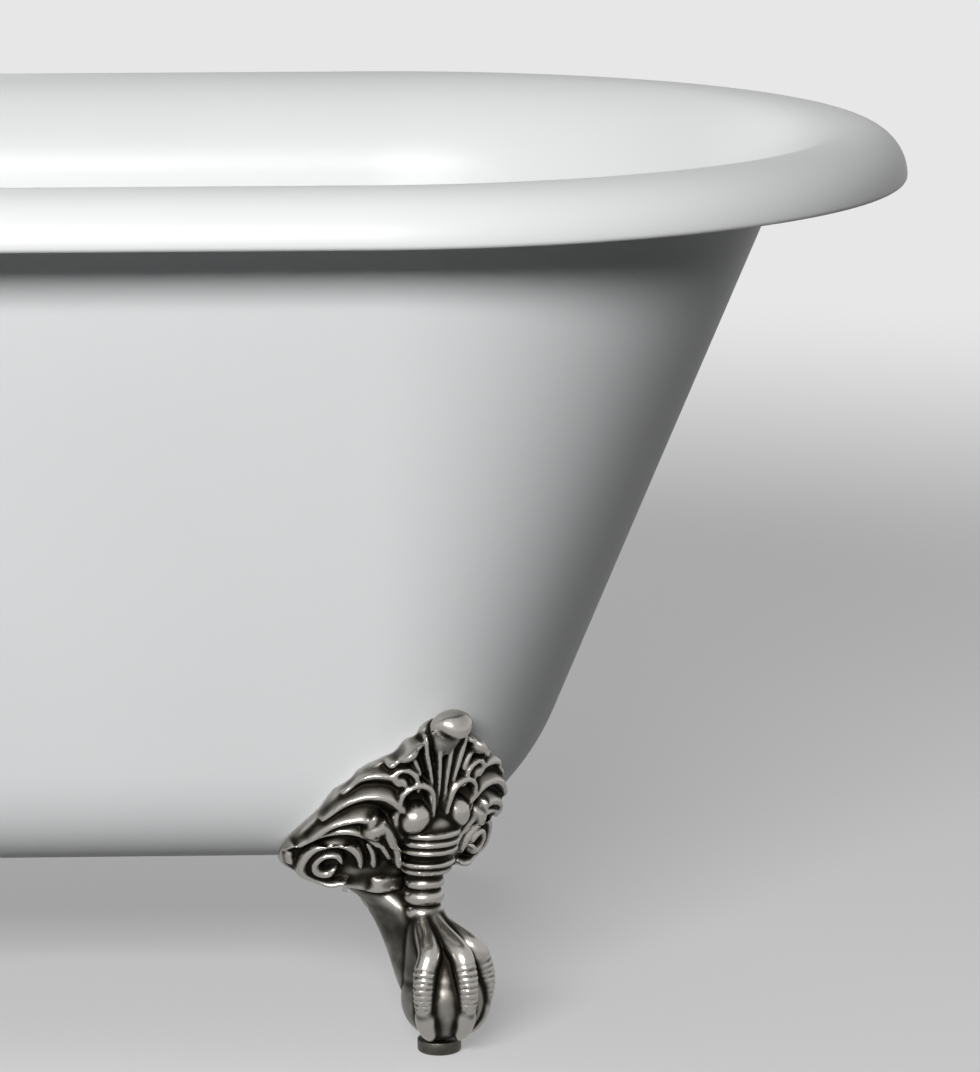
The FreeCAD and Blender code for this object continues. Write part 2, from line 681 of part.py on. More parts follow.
def make_elbow():
    """Round body behind the wall, closed at its back, with the pipe's socket below."""
    body = tube(ELBOW_OUTER, 0, ELBOW_FACE, ELBOW_BACK, OVERFLOW_AT, OUT)
    flange = tube(ELBOW_FLANGE, 0, ELBOW_FACE, ELBOW_FACE + ELBOW_FLANGE_THICK, OVERFLOW_AT, OUT)
    socket_at = OVERFLOW_AT + OUT * SOCKET_AXIS
    socket = tube(SOCKET_OUTER, 0, 0, SOCKET_END, socket_at, DOWN)
    elbow = fuse([body, flange, socket])
    pocket = SOCKET_END - SOCKET_LENGTH
    mouth = FACEPLATE_TAIL + 2 * THREAD_GAP
    inside = [
        tube(mouth, 0, ELBOW_FACE, FACEPLATE_TAIL_END, OVERFLOW_AT, OUT),
        tube(ELBOW_BORE, 0, FACEPLATE_TAIL_END, ELBOW_BACK - ELBOW_WALL, OVERFLOW_AT, OUT),
        tube(SOCKET_BORE, 0, pocket, SOCKET_END, socket_at, DOWN),
        tube(PIPE - 2 * PIPE_WALL, 0, 0, SOCKET_END, socket_at, DOWN),
    ]
    return elbow.cut(inside).fuse(cable_clip(socket_at + DOWN * (pocket - CABLE_CLIP), DOWN, X))


def pipe_route(ahead):
    """The pipe's middle line down the wall and in to the tee, lengthened ahead of its stops."""
    top = OVERFLOW_AT + OUT * SOCKET_AXIS + DOWN * (SOCKET_END - SOCKET_LENGTH - ahead)
    knee = top + DOWN * ((top.z - PIPE_HEIGHT) / -DOWN.z)
    reach = PIPE_BEND * math.tan((math.pi / 2 - LEAN) / 2)
    enter = knee - DOWN * reach
    leave = knee - Y * reach
    centre = leave + Z * PIPE_BEND
    middle = centre + (knee - centre).normalize() * PIPE_BEND
    end = Vector(0, INLET_STOP - ahead, PIPE_HEIGHT)
    return [
        Part.makeLine(top, enter),
        Part.Arc(enter, middle, leave).toShape(),
        Part.makeLine(leave, end),
    ]


def along_route(diameter, route):
    """A round bar along a route, one piece for each stretch of it."""
    start = route[0].valueAt(route[0].FirstParameter)
    circle = Part.Wire(Part.makeCircle(diameter / 2, start, DOWN))
    return Part.Wire(route).makePipeShell([circle], True, False)


# --- The feet: claw on a ball, ankle beads, collar and a leaf shield against the bath -----
BALL_RADIUS = BALL / 2
BALL_CENTRE = Vector(BALL_FORWARD, 0, SOLE_HEIGHT + BALL_RADIUS)
OVAL_POINTS = 8


def oval(forward, half_depth, half_width, height):
    """A level oval across the foot."""
    points = []
    for step in range(OVAL_POINTS):
        angle = 2 * math.pi * step / OVAL_POINTS
        points.append(
            Vector(forward + half_depth * math.cos(angle), half_width * math.sin(angle), height)
        )
    curve = Part.BSplineCurve()
    curve.interpolate(points, True)
    return Part.Wire(curve.toShape())


def make_toe(turn):
    """A jointed toe that comes out of the ankle and curls down over the ball."""
    out = Vector(math.cos(math.radians(turn)), math.sin(math.radians(turn)), 0)
    axis = Vector(BALL_FORWARD, 0, 0)
    spine = [(Vector(-ANKLE_BACK, 0, ANKLE_HEIGHT - BEAD_PITCH), TOE_ROOT)]
    spine += [(axis + out * reach + Z * height, radius) for reach, height, radius in TOE]
    rings = []
    for index, (point, radius) in enumerate(spine):
        before = spine[max(index - 1, 0)][0]
        after = spine[min(index + 1, len(spine) - 1)][0]
        rings.append(Part.Wire(Part.makeCircle(radius, point, after - before)))
    return Part.makeLoft(rings, True, True)


def make_bead(middle):
    """A bead round the ankle, out and in again by two tapers."""
    half = BEAD_PITCH / 2
    wide = ANKLE_RADIUS + BEAD_PROUD
    at = Vector(-ANKLE_BACK, 0, middle)
    lower = Part.makeCone(ANKLE_RADIUS, wide, half, at - Z * half)
    return lower.fuse(Part.makeCone(wide, ANKLE_RADIUS, half, at))


def make_collar():
    """The collar's ridges: one ruled band, out to each crest and in again to each valley."""
    last = 2 * COLLAR_RIDGES
    wires = []
    for step in range(last + 1):
        height = COLLAR_HEIGHT + COLLAR_PITCH * step / 2
        if step in (0, last):
            proud = -COLLAR_ROOT
        elif step % 2:
            proud = COLLAR_PROUD
        else:
            proud = COLLAR_VALLEY
        forward, half_depth, half_width, _ = column_at(height)
        wires.append(oval(forward, half_depth + proud, half_width + proud, height))
    return Part.makeLoft(wires, True, True)


def make_ridges():
    """The ankle's beads and the collar."""
    beads = [make_bead(ANKLE_HEIGHT + BEAD_PITCH * (step - (BEADS - 1) / 2)) for step in range(BEADS)]
    return beads + [make_collar()]


def column_at(height):
    """The column's oval at a height, between the rows that steer it."""
    for low, high in zip(COLUMN, COLUMN[1:]):
        if low[3] <= height <= high[3]:
            share = (height - low[3]) / (high[3] - low[3])
            return tuple(a + (b - a) * share for a, b in zip(low, high))
    return COLUMN[-1]


def facing(points):
    """Points given sideways and up, set behind the foot so that they can be drawn forward."""
    return [Vector(-FLANGE_BACK - LOOSE_GAP, sideways, height) for sideways, height in points]


def leaf_outline():
    """The edge of the leaf shield: round lobes, the same on both sides."""
    edges = []
    for mirror in (1, -1):
        start = LEAF_START
        for crown, end in LEAF_LOBES:
            places = facing([(mirror * q, z) for q, z in (start, crown, end)])
            edges.append(Part.Arc(*places).toShape())
            start = end
    top = facing([(-start[0], start[1]), LEAF_CROWN, start])
    edges.append(Part.Arc(*top).toShape())
    return Part.Wire(Part.sortEdges(edges)[0])


def drawn_forward(wire):
    """A flat outline behind the foot, drawn forward through it."""
    return Part.Face(wire).extrude(Vector(2 * FLANGE_BACK, 0, 0))


def rib(tip):
    """A tapered rib from the palm of the leaf to a point short of a lobe's crown."""
    run = math.hypot(tip[0] - RIB_BASE[0], tip[1] - RIB_BASE[1])
    along = ((tip[0] - RIB_BASE[0]) / run, (tip[1] - RIB_BASE[1]) / run)
    across = (along[1], -along[0])
    end = run - RIB_END

    def place(far, wide):
        return tuple(RIB_BASE[way] + along[way] * far + across[way] * wide for way in (0, 1))

    root_half = RIB_ROOT / 2
    end_half = RIB_END / 2
    corners = facing([place(0, -root_half), place(end, -end_half), place(end, end_half), place(0, root_half)])
    round_end = Part.Arc(corners[1], facing([place(end + end_half, 0)])[0], corners[2]).toShape()
    sides = [Part.makeLine(corners[0], corners[1]), Part.makeLine(corners[2], corners[3])]
    root = Part.makeLine(corners[3], corners[0])
    return drawn_forward(Part.Wire(Part.sortEdges(sides + [round_end, root])[0]))


def make_shield(hollow):
    """The leaf against the bath: a lobed plate with raised ribs and a scroll on each side."""
    tips = [LEAF_CROWN] + [(side * q, z) for (q, z), end in LEAF_LOBES[2:] for side in (1, -1)]
    layers = [([drawn_forward(leaf_outline())], LEAF_THICK), ([rib(tip) for tip in tips], RIB_THICK)]
    scrolls = []
    for side in (1, -1):
        at = Vector(-FLANGE_BACK - LOOSE_GAP, side * SCROLL_OUT, SCROLL_HEIGHT)
        depth = 2 * FLANGE_BACK
        ring = Part.makeCylinder(SCROLL_RADIUS, depth, at, X)
        scrolls.append(ring.cut(Part.makeCylinder(SCROLL_RADIUS - SCROLL_BAND, depth, at, X)))
        scrolls.append(Part.makeCylinder(SCROLL_EYE, depth, at, X))
    layers.append((scrolls, SCROLL_THICK))
    corner = Vector(-2 * FLANGE_BACK - FLANGE_FRONT, -SCROLL_OUT, 0)
    under_bath = at_foot(Part.makeBox(2 * FLANGE_BACK, 2 * SCROLL_OUT, UNDERSIDE, corner))
    pieces = []
    for shapes, thick in layers:
        grown = grown_body(thick, WALL_HIGH_Z)
        pieces += [at_foot(shape).common(grown).cut([hollow, under_bath]) for shape in shapes]
    return pieces


def make_foot():
    """The front right foot, one casting."""
    hollow = grown_body(SEAT_GAP, WALL_HIGH_Z)
    ball = Part.makeSphere(BALL_RADIUS, BALL_CENTRE)
    spigot = Part.makeCylinder(SPIGOT / 2, BALL_RADIUS, Z * SOLE_HEIGHT)
    leg = Part.makeLoft([oval(*row) for row in LEG], True, False)
    column = Part.makeLoft([oval(*row) for row in COLUMN], True, False)
    toes = [make_toe(turn) for turn in (-TOE_SPREAD, 0, TOE_SPREAD)]
    flange = Part.makeBox(
        FLANGE_BACK - FLANGE_FRONT,
        2 * FLANGE_HALF_WIDTH,
        FLANGE_THICK,
        Vector(-FLANGE_BACK, -FLANGE_HALF_WIDTH, BOSS_FACE - FLANGE_THICK),
    )
    corners = [edge for edge in flange.Edges if abs(edge.tangentAt(edge.FirstParameter).z) > SQUARE]
    flange = flange.makeFillet(FLANGE_THICK, corners)
    top_knob = Part.makeSphere(
        KNOB_LEAF_RADIUS, Vector(TOP_KNOB_FORWARD, 0, LEAF_TOP - KNOB_LEAF_RADIUS)
    )
    bud = Part.makeSphere(BUD_RADIUS, Vector(BUD_FORWARD, 0, BUD_HEIGHT))
    body = fuse([ball, spigot, leg, column, flange] + toes + make_ridges() + [top_knob, bud])
    placed = at_foot(body).cut(hollow)
    placed = fuse([placed] + make_shield(hollow))
    over_flange = Part.makeBox(
        FLANGE_BACK,
        2 * FLANGE_BACK,
        OVER_FLANGE_HEIGHT,
        Vector(-FLANGE_BACK - OVER_FLANGE_FRONT, -FLANGE_BACK, BOSS_FACE),
    )
    placed = placed.cut(at_foot(over_flange))
    bore = Part.makeCylinder(PAD_STEM / 2 + RUNNING_GAP, PAD_STEM_LENGTH + LOOSE_GAP, Z * SOLE_HEIGHT)
    holes = [at_foot(bore)]
    for place in bolt_places():
        low = BOSS_FACE - FLANGE_THICK
        holes.append(Part.makeCylinder(BOLT / 2 + BOLT_GAP, FLANGE_THICK, place + Z * low))
    return placed.cut(holes)


def make_pad():
    """A round screw-in pad with its stem."""
    disc = tube(PAD, 0, 0, SOLE_HEIGHT)
    lower = [edge for edge in disc.Edges if edge.BoundBox.ZMax < SEAT_GAP]
    disc = disc.makeChamfer(PAD_EDGE, lower)
    stem = tube(PAD_STEM, 0, 0, SOLE_HEIGHT + PAD_STEM_LENGTH)
    return at_foot(disc.fuse(stem))


def make_bolts():
    """Hex bolts and washers of the front right foot."""
    bolts = []
    washers = []
    under = BOSS_FACE - FLANGE_THICK - WASHER_THICK
    for place in bolt_places():
        head = hex_prism(BOLT_HEAD_ACROSS, under - BOLT_HEAD_THICK, under, place)
        shank = tube(BOLT, 0, under - BOLT_HEAD_THICK, under + BOLT_GRIP, place)
        bolts.append(head.fuse(shank))
        washers.append(tube(WASHER_OUTER, BOLT + 2 * BOLT_GAP, under, under + WASHER_THICK, place))
    return bolts, washers


# --- The assembly ------------------------------------------------------------------------
def make_parts():
    """Every piece by the name of its file."""
    parts = {"tub_shell": make_tub_shell()}
    for corner, foot in four_corners(make_foot()).items():
        parts["foot_" + corner] = foot
    for corner, pad in four_corners(make_pad()).items():
        parts["levelling_pad_" + corner] = pad
    bolts, washers = make_bolts()
    parts["foot_bolts"] = at_all_corners(bolts)
    parts["foot_bolt_washers"] = at_all_corners(washers)
    parts["waste_flange"] = make_waste_flange()
    parts["waste_seal_upper"] = tube(WASTE_FLANGE, THREAD_BORE, WASTE_SEAT, UPPER_SEAL_TOP)
    parts["waste_seal_lower"] = tube(LOWER_SEAL, THREAD_BORE, LOWER_SEAL_BOTTOM, WASTE_BOSS_FACE)
    nut = hex_prism(BACKNUT_ACROSS, BODY_TOP, LOWER_SEAL_BOTTOM)
    parts["waste_backnut"] = nut.cut(tube(THREAD_BORE, 0, BODY_TOP, LOWER_SEAL_BOTTOM))
    parts["waste_body"] = make_waste_body()
    nut_top = OUTLET_BOTTOM + SLIP_NUT_OVERLAP
    parts["waste_tailpiece"] = make_tailpiece(nut_top - SLIP_NUT_LENGTH - SEAT_GAP)
    slip = hex_prism(SLIP_NUT_ACROSS, nut_top - SLIP_NUT_LENGTH, nut_top)
    parts["tailpiece_nut"] = slip.cut(
        [
            tube(TAILPIECE_BORE, 0, nut_top - SLIP_NUT_LENGTH, nut_top),
            tube(OUTLET_OUTER + 2 * THREAD_GAP, 0, OUTLET_BOTTOM, nut_top),
        ]
    )
    parts["waste_plug"], parts["plug_seal"] = make_plug()
    parts["lift_lever"] = make_lift_lever()
    pin_half = math.sqrt((BODY_OUTER / 2) ** 2 - LEVER_ARM ** 2)
    parts["lift_lever_pin"] = tube(LEVER_PIN, 0, -pin_half, pin_half, lever_pivot(), X)
    parts["overflow_faceplate"] = make_faceplate()
    parts["overflow_knob"] = make_knob()
    parts["overflow_spindle"] = make_spindle()
    parts["overflow_seal_inner"] = tube(
        OVERFLOW_PAD, OVERFLOW_SEAL_BORE, SEAL_FACE, OVERFLOW_SEAT, OVERFLOW_AT, OUT
    )
    parts["overflow_seal_outer"] = tube(
        ELBOW_FLANGE, OVERFLOW_SEAL_BORE, OVERFLOW_PAD_FACE, ELBOW_FACE, OVERFLOW_AT, OUT
    )
    parts["overflow_elbow"] = make_elbow()
    outside = along_route(PIPE, pipe_route(-THREAD_GAP))
    inside = along_route(PIPE - 2 * PIPE_WALL, pipe_route(-THREAD_GAP))
    parts["overflow_pipe"] = outside.cut(inside)
    parts["control_cable"] = along_route(CABLE, pipe_route(CABLE_CLIP))
    parts["overflow_pipe_nuts"] = Part.Compound(
        [
            pipe_nut(OVERFLOW_AT + OUT * SOCKET_AXIS + DOWN * SOCKET_END, DOWN),
            pipe_nut(Vector(0, INLET_END, PIPE_HEIGHT), Y),
        ]
    )
    return parts


def pipe_nut(at, axis):
    """A hex nut over the end of a socket, closing on the pipe."""
    half = PIPE_NUT_LENGTH / 2
    nut = hex_prism(PIPE_NUT_ACROSS, -half, half, at, axis)
    over_socket = tube(SOCKET_OUTER + 2 * THREAD_GAP, 0, -half, 0, at, axis)
    return nut.cut([tube(SOCKET_BORE, 0, -half, half, at, axis), over_socket])


os.makedirs("parts", exist_ok=True)
for name, shape in make_parts().items():
    shape.exportStep("parts/" + name + ".step")
    print(name, len(shape.Solids), shape.isValid(), round(shape.Volume))
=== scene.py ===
import math

import bmesh
import bpy
import numpy as np
from mathutils import Matrix, Vector


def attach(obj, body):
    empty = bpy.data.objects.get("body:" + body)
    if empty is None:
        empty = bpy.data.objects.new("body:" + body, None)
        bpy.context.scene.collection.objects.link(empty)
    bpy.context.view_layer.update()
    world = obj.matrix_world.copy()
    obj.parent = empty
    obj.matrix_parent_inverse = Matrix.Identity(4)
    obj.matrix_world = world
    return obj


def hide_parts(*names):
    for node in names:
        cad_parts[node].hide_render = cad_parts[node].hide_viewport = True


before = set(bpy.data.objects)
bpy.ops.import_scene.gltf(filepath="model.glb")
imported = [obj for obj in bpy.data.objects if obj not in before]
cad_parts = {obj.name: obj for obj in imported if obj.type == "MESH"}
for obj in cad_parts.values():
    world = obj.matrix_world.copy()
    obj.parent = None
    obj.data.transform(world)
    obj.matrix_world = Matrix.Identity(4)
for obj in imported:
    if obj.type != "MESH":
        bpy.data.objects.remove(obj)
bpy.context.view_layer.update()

# --- The studio --------------------------------------------------------------------------
# A plain pale floor that fades into an even backdrop, three soft lamps, and a long lens
# three and a half metres in front of the bath, looking down on it by eleven degrees.
scene = bpy.context.scene
scene.view_settings.view_transform = "Standard"

camera_place = (0.45523, -3.5, 1.01761)
camera_down, camera_right, camera_roll = 0.1988, 0.0286, -0.0032
lens_pixels = 4976.67
photo_height = 1072
film_long_side = 36.0

camera_data = bpy.data.cameras.new("camera")
camera_data.sensor_width = film_long_side
camera_data.lens = lens_pixels * film_long_side / photo_height
camera = bpy.data.objects.new("camera", camera_data)
scene.collection.objects.link(camera)
camera.matrix_world = (
    Matrix.Translation(camera_place)
    @ Matrix.Rotation(-camera_right, 4, "Z")
    @ Matrix.Rotation(math.pi / 2 - camera_down, 4, "X")
    @ Matrix.Rotation(camera_roll, 4, "Z")
)
scene.camera = camera


def softbox(name, place, target, wide, tall, watts):
    """A white rectangular lamp that faces a target."""
    lamp = bpy.data.lights.new(name, "AREA")
    lamp.shape = "RECTANGLE"
    lamp.size = wide
    lamp.size_y = tall
    lamp.energy = watts
    holder = bpy.data.objects.new(name, lamp)
    scene.collection.objects.link(holder)
    holder.location = place
    holder.rotation_euler = (Vector(target) - Vector(place)).to_track_quat("-Z", "Y").to_euler()


softbox("lamp_above", (-0.2, -0.7, 3.1), (0.2, 0.0, 0.5), 3.2, 1.8, 5.0)
softbox("lamp_front", (-0.6, -4.0, 2.1), (0.0, 0.0, 0.4), 2.4, 0.9, 184.0)
softbox("lamp_behind", (-1.2, 3.4, 2.4), (0.0, 0.0, 0.4), 2.4, 1.6, 18.0)

backdrop_colour = (0.80, 0.80, 0.80, 1.0)
fill_strength = 0.07


def seen_directly(nodes, links):
    """1 on camera, glossy and transmission rays, else 0."""
    path = nodes.new("ShaderNodeLightPath")
    first = nodes.new("ShaderNodeMath")
    first.operation = "MAXIMUM"
    links.new(path.outputs["Is Camera Ray"], first.inputs[0])
    links.new(path.outputs["Is Glossy Ray"], first.inputs[1])
    second = nodes.new("ShaderNodeMath")
    second.operation = "MAXIMUM"
    links.new(first.outputs[0], second.inputs[0])
    links.new(path.outputs["Is Transmission Ray"], second.inputs[1])
    return second.outputs[0]


world = bpy.data.worlds.new("studio")
world.use_nodes = True
scene.world = world
nodes, links = world.node_tree.nodes, world.node_tree.links
nodes.clear()
fill = nodes.new("ShaderNodeBackground")
fill.inputs["Color"].default_value = (0.95, 0.97, 1.0, 1.0)
fill.inputs["Strength"].default_value = fill_strength
shown = nodes.new("ShaderNodeBackground")
shown.inputs["Color"].default_value = backdrop_colour
either = nodes.new("ShaderNodeMixShader")
links.new(seen_directly(nodes, links), either.inputs[0])
links.new(fill.outputs[0], either.inputs[1])
links.new(shown.outputs[0], either.inputs[2])
links.new(either.outputs[0], nodes.new("ShaderNodeOutputWorld").inputs["Surface"])

floor_half = 40.0
fade_from, fade_to = 1.6, 3.4
least_fade = 0.4
floor_seen, floor_bounce = (0.80, 0.80, 0.80, 1.0), (0.07, 0.07, 0.07, 1.0)
floor_mesh = bpy.data.meshes.new("studio_floor")
floor_mesh.from_pydata(
    [(floor_half * x, floor_half * y, 0) for x, y in ((-1, -1), (1, -1), (1, 1), (-1, 1))],
    [],
    [(0, 1, 2, 3)],
)
floor = bpy.data.objects.new("studio_floor", floor_mesh)
scene.collection.objects.link(floor)
floor_paint = bpy.data.materials.new("studio_floor")
floor_paint.use_nodes = True
nodes, links = floor_paint.node_tree.nodes, floor_paint.node_tree.links
nodes.clear()
place = nodes.new("ShaderNodeTexCoord")
reach = nodes.new("ShaderNodeVectorMath")
reach.operation = "LENGTH"
links.new(place.outputs["Object"], reach.inputs[0])
fade = nodes.new("ShaderNodeMapRange")
fade.interpolation_type = "SMOOTHSTEP"
fade.inputs["From Min"].default_value = fade_from
fade.inputs["From Max"].default_value = fade_to
fade.inputs["To Min"].default_value = least_fade
links.new(reach.outputs["Value"], fade.inputs["Value"])
share = nodes.new("ShaderNodeMath")
share.operation = "MULTIPLY"
links.new(fade.outputs["Result"], share.inputs[0])
links.new(seen_directly(nodes, links), share.inputs[1])
matt = nodes.new("ShaderNodeBsdfDiffuse")
floor_tone = nodes.new("ShaderNodeMix")
floor_tone.data_type = "RGBA"
floor_tone.inputs["A"].default_value = floor_bounce
floor_tone.inputs["B"].default_value = floor_seen
links.new(seen_directly(nodes, links), floor_tone.inputs["Factor"])
links.new(floor_tone.outputs["Result"], matt.inputs["Color"])
even = nodes.new("ShaderNodeEmission")
even.inputs["Color"].default_value = backdrop_colour
faded = nodes.new("ShaderNodeMixShader")
links.new(share.outputs[0], faded.inputs[0])
links.new(matt.outputs[0], faded.inputs[1])
links.new(even.outputs[0], faded.inputs[2])
links.new(faded.outputs[0], nodes.new("ShaderNodeOutputMaterial").inputs["Surface"])
floor_mesh.materials.append(floor_paint)

# --- The iron casting and its enamel -----------------------------------------------------
# The tub is one thin iron casting with a rolled rim that is open underneath. Its inside and
# rim are fired white enamel; the outside is sprayed with a satin white paint.
MM = 0.001
end_centre = 470.0
wall = 6.5
underside, corner_top, rim_start = 125.0, 200.0, 540.0
end_low, end_high = 133.0, 278.0
side_low, side_high = 240.0, 287.0
flat_end, flat_side = 20.0, 165.0
lip_out, lip_height = 380.0, 573.0
crest_out, crest_height = 344.0, 610.0
bend_columns, run_columns = 97, 39
end_slope = (end_high - end_low) / (rim_start - corner_top)
side_slope = (side_high - side_low) / (rim_start - corner_top)
waste_hole, waste_recess, waste_boss = 25.0, 37.0, 46.0
waste_seat, waste_face = 127.5, 119.0


def wall_station(height, grown=0.0):
    """How far the wall stands from an end centre and from the long axis: a straight line up
    from the corner, moved out square to itself by grown."""
    end = end_low + end_slope * (height - corner_top) + grown * math.hypot(1, end_slope)
    side = side_low + side_slope * (height - corner_top) + grown * math.hypot(1, side_slope)
    return end, side, height


def bezier(stations, weights, count):
    """A curve from the first (end, side, height) station to the last, drawn towards those
    between: their weighted mean under binomial shares, at evenly spaced parameters."""
    t = np.linspace(0, 1, count)[:, None]
    order = np.arange(len(stations))
    choose = np.array([math.comb(len(stations) - 1, k) for k in order])
    share = choose * t**order * (1 - t) ** order[::-1] * np.array(weights)
    return share @ np.array(stations, float) / share.sum(1, keepdims=True)


def bowl_curve(grown, crest, rise, lead, lip):
    """The section of one skin: corner, wall, the sweep up to the crest and the rolled edge."""
    bottom = underside - grown
    floor_start = (flat_end, flat_side, bottom)
    corner = wall_station(corner_top, grown)
    rim = wall_station(rim_start, grown)
    rim_steer = wall_station(rim_start + rise, grown)
    crest_steer = (crest_out - lead, crest_out - lead, crest)
    top = (crest_out, crest_out, crest)
    edge = (lip, lip, lip_height + wall / 2)
    quarter_round = (1, math.sqrt(0.5), 1)
    return np.vstack([
        bezier([floor_start, wall_station(bottom, grown), corner], (1, 1, 1), 22),
        bezier([corner, rim], (1, 1), 22)[1:],
        bezier([rim, rim_steer, crest_steer, top], (1, 1, 1, 1), 18)[1:],
        bezier([top, (lip, lip, crest), edge], quarter_round, 18)[1:],
    ])


def ring_of(rows):
    """Level rings: straight sides joined by half ellipses. x is the end centre plus end times
    the cosine of the turn, and y is side times its sine."""
    bend = np.linspace(-math.pi / 2, math.pi / 2, bend_columns)
    run = np.linspace(1, -1, run_columns + 2)[1:-1]
    end, side = np.ones(bend_columns), np.ones(run_columns)
    centre = np.concatenate([end, run, -end, -run]) * end_centre
    across = np.concatenate([np.cos(bend), 0 * side, -np.cos(bend), 0 * side])
    along = np.concatenate([np.sin(bend), side, -np.sin(bend), -side])
    x = centre + rows[:, :1] * across
    return np.stack([x, rows[:, 1:2] * along, rows[:, 2:] + 0 * across], 2)


def flat_rings(outer, circles, count=26):
    """Rings across a flat floor: circles as (radius, height), and from the last of them each
    point slides straight to the outer ring, in steps that grow outwards."""
    turn = np.arctan2(outer[:, 1], outer[:, 0])
    radius, height = np.array(circles, float).T[..., None]
    rings = np.stack([radius * np.cos(turn), radius * np.sin(turn), height + 0 * turn], 2)
    share = np.linspace(0, 1, count)[1:-1, None, None] ** 1.5
    return np.concatenate([rings, rings[-1] + share * (outer - rings[-1])])


def grid_faces(rows, columns, closed_rows):
    """Four-cornered faces between neighbouring points of a grid of rings."""
    row, column = np.indices((rows if closed_rows else rows - 1, columns)).reshape(2, -1)
    here, next_row = row * columns, (row + 1) % rows * columns
    beside = (column + 1) % columns
    return np.stack([here + column, next_row + column, next_row + beside, here + beside], 1)


def outward(points, faces):
    """The faces turned so that the solid's signed volume, a third of each face's centre dotted
    with its area vector, is positive."""
    a, b, c, d = (points[faces[:, k]] for k in range(4))
    volume = ((a + b + c + d) * np.cross(c - a, d - b)).sum()
    return faces if volume > 0 else faces[:, ::-1]


def new_mesh(name, points, faces, crisp_above=40.0):
    """A mesh from points in millimetres, with its poles merged. It is shaded smooth, but for
    edges that turn by more degrees than crisp_above."""
    mesh = bpy.data.meshes.new(name)
    mesh.from_pydata((points * MM).tolist(), [], outward(points, faces).tolist())
    build = bmesh.new()
    build.from_mesh(mesh)
    bmesh.ops.remove_doubles(build, verts=build.verts, dist=1e-7)
    build.to_mesh(mesh)
    build.free()
    mesh.shade_smooth()
    mesh.set_sharp_from_angle(angle=math.radians(crisp_above))
    return mesh


def new_piece(name, mesh, *materials):
    """An object at the origin with its materials."""
    piece = bpy.data.objects.new(name, mesh)
    scene.collection.objects.link(piece)
    for material in materials:
        mesh.materials.append(material)
    return piece


def turned(profile, base=(0, 0, 0), axis=(0, 0, 1), steps=72):
    """A turned piece: a profile of (radius, distance along the axis) carried round the axis.
    The profile starts and ends on the axis."""
    profile = np.asarray(profile, float)
    axis = np.array(axis, float) / np.linalg.norm(axis)
    side = np.cross(axis, (0, 1, 0) if abs(axis[1]) < 0.9 else (1, 0, 0))
    side /= np.linalg.norm(side)
    third = np.cross(axis, side)
    turn = np.linspace(0, 2 * math.pi, steps, endpoint=False)
    arm = np.cos(turn)[:, None] * side + np.sin(turn)[:, None] * third
    points = np.array(base) + profile[:, 1, None, None] * axis + profile[:, :1, None] * arm
    return points.reshape(-1, 3), grid_faces(len(profile), steps, False)


def merged(solids):
    """Several (points, faces) solids as one."""
    points, faces, count = [], [], 0
    for these, those in solids:
        points.append(these)
        faces.append(outward(these, those) + count)
        count += len(these)
    return np.concatenate(points), np.concatenate(faces)


def finished(piece):
    """The piece's mesh, with its modifiers worked in."""
    bpy.context.view_layer.update()
    done = piece.evaluated_get(bpy.context.evaluated_depsgraph_get())
    piece.data = bpy.data.meshes.new_from_object(done)
    piece.modifiers.clear()
    return piece.data


def joined(piece, other, operation):
    """The piece's mesh after a union with, or a cut by, another closed mesh."""
    tool = new_piece("tool", other)
    step = piece.modifiers.new("join", "BOOLEAN")
    step.operation = operation
    step.solver = "MANIFOLD"
    step.object = tool
    done = finished(piece)
    bpy.data.objects.remove(tool)
    return done


inside = bowl_curve(-wall, crest_height, 30.0, 32.0, lip_out)
outside = bowl_curve(0.0, crest_height - wall, 22.0, 25.0, lip_out - wall)
half_turn = np.linspace(0, math.pi, 9)[1:-1]
lip_reach = lip_out - wall / 2 + wall / 2 * np.cos(half_turn)
lip_level = lip_height + wall / 2 - wall / 2 * np.sin(half_turn)
lip_round = np.stack([lip_reach, lip_reach, lip_level], 1)
floor_rings = flat_rings(ring_of(inside[:1])[0], [
    (waste_hole, waste_face), (waste_hole, waste_seat),
    (waste_recess, waste_seat), (waste_recess, underside + wall),
])
under_rings = flat_rings(ring_of(outside[:1])[0], [
    (waste_hole, waste_face), (waste_boss - 1, waste_face),
    (waste_boss, waste_face + 1), (waste_boss, underside),
])
tub_rings = np.concatenate([
    floor_rings, ring_of(np.vstack([inside, lip_round, outside[::-1]])), under_rings[:0:-1],
])
tub_faces = grid_faces(*tub_rings.shape[:2], True)
tub_crisp_above = 30.0
tub_mesh = new_mesh("tub_casting", tub_rings.reshape(-1, 3), tub_faces, tub_crisp_above)
painted_rows = len(floor_rings) + len(inside) + len(lip_round) + 1


